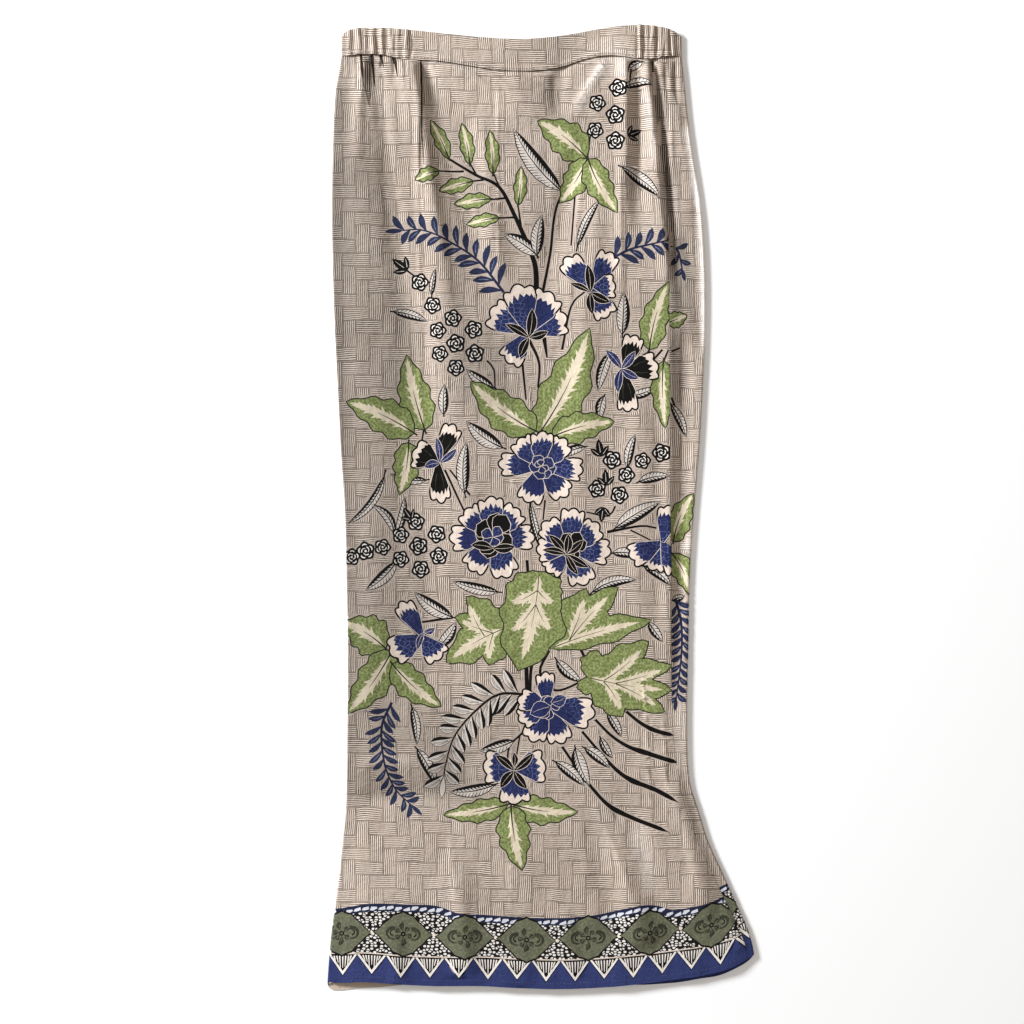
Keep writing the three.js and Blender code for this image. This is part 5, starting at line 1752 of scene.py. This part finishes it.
# %% The cotton's material
def printed_cotton(name):
    material, shader = new_material(name)
    layout = flow("UVMap", {"uv_map": "layout"})
    place = flow("VectorMath", {"operation": "SCALE"}, Vector=layout, Scale=1 / METRES)
    wobble = noise(place, 0.03, 1.5, "Color")
    bent = flow("VectorMath", {"operation": "MULTIPLY_ADD"}, Vector=wobble, _1=DRIFT, _2=place)
    parts = node("SeparateXYZ", Vector=bent)
    x, y = Flow(parts.outputs[0]) / CELL_SIZE, Flow(parts.outputs[1]) / CELL_SIZE

    # Which cell, and so which way its lines run.
    column, row = maths("FLOOR", x), maths("FLOOR", y)
    turn = maths("FLOORED_MODULO", column - row, 4.0)
    upright = turn > 1.5
    in_x, in_y = x - column, y - row
    across = in_y + upright * (in_x - in_y)
    along = in_x + upright * (in_y - in_x)
    first_cell = maths("COMPARE", turn, 0.0, 0.5) + maths("COMPARE", turn, 3.0, 0.5)
    end = first_cell * along + (1 - first_cell) * (1 - along)
    to_edge = maths("MINIMUM", maths("MINIMUM", across, 1 - across), end) * CELL_SIZE
    lines = across * LINES_PER_CELL
    uneven = noise(place, 0.35, 1.0)
    stripe = maths("ABSOLUTE", maths("FRACT", lines) - 0.5)
    dark = 1 - soften(stripe + (uneven - 0.5) * 0.16, 0.12, 0.17)
    light = soften(stripe, 0.31, 0.4)
    border_line = 1 - soften(to_edge, 0.22, 0.5)

    # The dyes: slow blotches and the mat's lines.
    colour = attribute("dye", "Color")
    finish = node("SeparateColor", Color=attribute("finish", "Color"))
    mat, crackled, stippled = (Flow(finish.outputs[i]) for i in range(3))
    pebbled = attribute("pebble", "Fac")
    blotch = noise(place, 0.011, 3.0)
    fade = noise(place, 0.028, 4.0)
    colour = mix(soften(blotch, 0.3, 0.7) * mat * 0.5, colour, BLOTCH)
    inked = 0.7 + soften(noise(place, 0.055, 2.0), 0.3, 0.7) * 0.3
    colour = mix(light * mat * inked, colour, LINE_LIGHT)
    colour = mix(dark * mat * inked, colour, LINE_DARK)
    colour = mix(border_line * mat * inked * 0.6, colour, LINE_DARK)

    # Crackle on the petals, and stipple on the leaves.
    to_rim = {"voronoi_dimensions": "2D", "feature": "DISTANCE_TO_EDGE"}
    cracks = flow("TexVoronoi", to_rim, "Distance", Vector=place, Scale=0.21)
    veins = 1 - soften(cracks, 0.02, 0.09)
    colour = mix(veins * crackled * soften(fade, 0.35, 0.65) * 0.6, colour, CRACK)
    speck = noise(place, 0.5, 2.0)
    colour = mix(soften(speck, 0.48, 0.6) * crackled * 0.6, colour, SPECK)
    grain = noise(place, 0.42, 3.0)
    colour = mix(soften(grain, 0.5, 0.62) * stippled * 0.55, colour, STIPPLE_PALE)
    colour = mix(soften(1 - grain, 0.5, 0.64) * stippled * 0.6, colour, STIPPLE_DEEP)
    colour = mix(soften(fade, 0.45, 0.7) * stippled * 0.3, colour, STIPPLE_FADED)

    # White pebbles on the border's black: rounded cells, clear of each other.
    flattened = flow("VectorMath", {"operation": "MULTIPLY"}, Vector=place, _1=PEBBLES_PER_MM)
    pebbles = {"Vector": flattened, "Scale": 1.0, "Randomness": 0.85}
    to_middle = flow("TexVoronoi", {"voronoi_dimensions": "2D"}, "Distance", **pebbles)
    to_gap = flow("TexVoronoi", to_rim, "Distance", **pebbles)
    stone = 1 - soften(to_middle, 0.34, 0.42)
    stone = stone * soften(to_gap, 0.1, 0.17)
    colour = mix(stone * pebbled, colour, PEBBLE)

    # Painted shade and painted highlights from the bands, and the dye's slow random fade.
    shade = attribute("painted_light_and_shade", "Fac")
    # Where the bands are light, the mat's lines wash out into a pale painted highlight.
    colour = mix(soften(shade, 0.04, 0.9) * mat * 0.75, colour, PAINTED_HIGHLIGHT)
    # The colour is scaled by the dye's random fade and by the painted shade and highlight of the bands.
    fade_and_painted_shade = 1 + (fade - 0.5) * 0.16 + shade
    faded_and_painted_colour = flow("VectorMath", {"operation": "SCALE"}, Vector=colour, Scale=fade_and_painted_shade)
    feed(shader, Base_Color=faded_and_painted_colour)

    # Weave and small wrinkles, felt in the light only.
    threads = node("SeparateXYZ", Vector=place)
    warp = maths("SINE", Flow(threads.outputs[0]) * (WHOLE_TURN / THREAD))
    weft = maths("SINE", Flow(threads.outputs[1]) * (WHOLE_TURN / THREAD))
    crumple = noise(place, 0.07, 4.0) * 5.0 + noise(place, 0.4, 2.0) * 0.5
    relief = warp * weft * 0.12 + crumple
    feed(shader, Normal=flow("Bump", Height=relief, Strength=0.5, Distance=0.0006))
    feed(shader, Roughness=0.88, Sheen_Weight=0.04, Sheen_Roughness=0.6, Specular_IOR_Level=0.12)
    print(name, "has", len(Flow.tree.nodes), "nodes")
    return material

# %% The thread's material
def sewing_thread(name, colour):
    """Spun thread: fine slanting plies and a little sheen."""
    material, shader = new_material(name)
    where = flow("TexCoord", output="Object")
    parts = node("SeparateXYZ", Vector=where)
    ply = maths("SINE", (Flow(parts.outputs[0]) + Flow(parts.outputs[1])) * (WHOLE_TURN / PLY))
    feed(shader, Base_Color=mix(noise(where, 900.0, 2.0), colour, THREAD_SHADE))
    feed(shader, Normal=flow("Bump", Height=ply, Strength=0.4, Distance=0.0001))
    feed(shader, Roughness=0.6, Sheen_Weight=0.1)
    return material


cotton = printed_cotton("batik cotton")
for piece in (front, back, casing, flat_band):
    piece.data.materials.append(cotton)
waist_thread.data.materials.append(sewing_thread("beige thread", BEIGE_THREAD))
hem_thread.data.materials.append(sewing_thread("blue thread", BLUE_THREAD))
print("materials:", [piece.data.materials[0].name for piece in (front, waist_thread, hem_thread)])

# %% [markdown]
# ## The floor and the light
# The skirt lies on a plain pale floor. One soft light comes from the upper left, low enough to
# draw the folds. The pale world fills the shadows, and a faint glow of the floor keeps them light.

# %% Floor, lights and world
LAMP_PLACE = (-2.7, 1.4, 1.45)  # metres
LAMP_SIZE, LAMP_POWER, LAMP_COLOUR = 0.7, 215.0, (0.915, 0.96, 1.0)  # metres and watts
WORLD_COLOUR, WORLD_STRENGTH = (1.0, 0.94, 0.88, 1), 0.44
FLOOR_COLOUR = (0.93, 0.93, 0.93, 1)
FLOOR_SIZE = 12.0
FLOOR_DROP = 0.0004  # metres below the cloth
FLOOR_GLOW = 0.08  # keeps the shadows on it faint, as on a lit table

half = FLOOR_SIZE / 2
corners = [(-half, -half), (half, -half), (half, half), (-half, half)]
floor_mesh = bpy.data.meshes.new("floor")
floor_mesh.from_pydata([(x, y, -FLOOR_DROP) for x, y in corners], [], [(0, 1, 2, 3)])
pale, shader = new_material("pale floor")
feed(shader, Base_Color=FLOOR_COLOUR, Roughness=0.9, Specular_IOR_Level=0.1)
feed(shader, Emission_Color=(1, 1, 1, 1), Emission_Strength=FLOOR_GLOW)
floor_mesh.materials.append(pale)
floor = add_object("floor", floor_mesh)

lamp = bpy.data.lights.new("key", "AREA")
lamp.energy, lamp.size, lamp.color = LAMP_POWER, LAMP_SIZE, LAMP_COLOUR
key = add_object("key", lamp)
key.location = LAMP_PLACE
key.rotation_euler = (-Vector(LAMP_PLACE)).to_track_quat("-Z", "Y").to_euler()

world = bpy.data.worlds.new("studio")
world.use_nodes = True
feed(world.node_tree.nodes["Background"], Color=WORLD_COLOUR, Strength=WORLD_STRENGTH)
bpy.context.scene.world = world
bpy.context.scene.view_settings.view_transform = "Standard"
print("lamp:", LAMP_POWER, "watts, floor:", FLOOR_SIZE, "metres")

# %% [markdown]
# ## Pieces on the frame
# Each piece of cloth rides on the skirt's one body and replaces its plain solid. The flat size
# says what was cut: each panel is a rectangle before its sides are shaped, and the waistband is
# one straight strip.

# %% Ride and replace
SHEETS = (  # piece, solid, slot, flat width and length, flat area, what it rests on
    (front, "front_panel", "printed_cotton", (0.460, 0.930), 0.335, ["back_cloth"]),
    (back, "back_panel", "printed_cotton", (0.460, 0.935), 0.345, []),
    (flat_band, "waistband_front", "band_cotton", (0.225, 0.046), 0.0075, ["casing"]),
    (casing, "waistband_elastic", "band_cotton", (0.480, 0.034), None, []),
)
for piece, solid, slot, flat, area, under in SHEETS:
    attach(piece, "root")
    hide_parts(solid)
    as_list(under)

for thread, slot in ((waist_thread, "band_cotton"), (hem_thread, "printed_cotton")):
    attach(thread, "root")
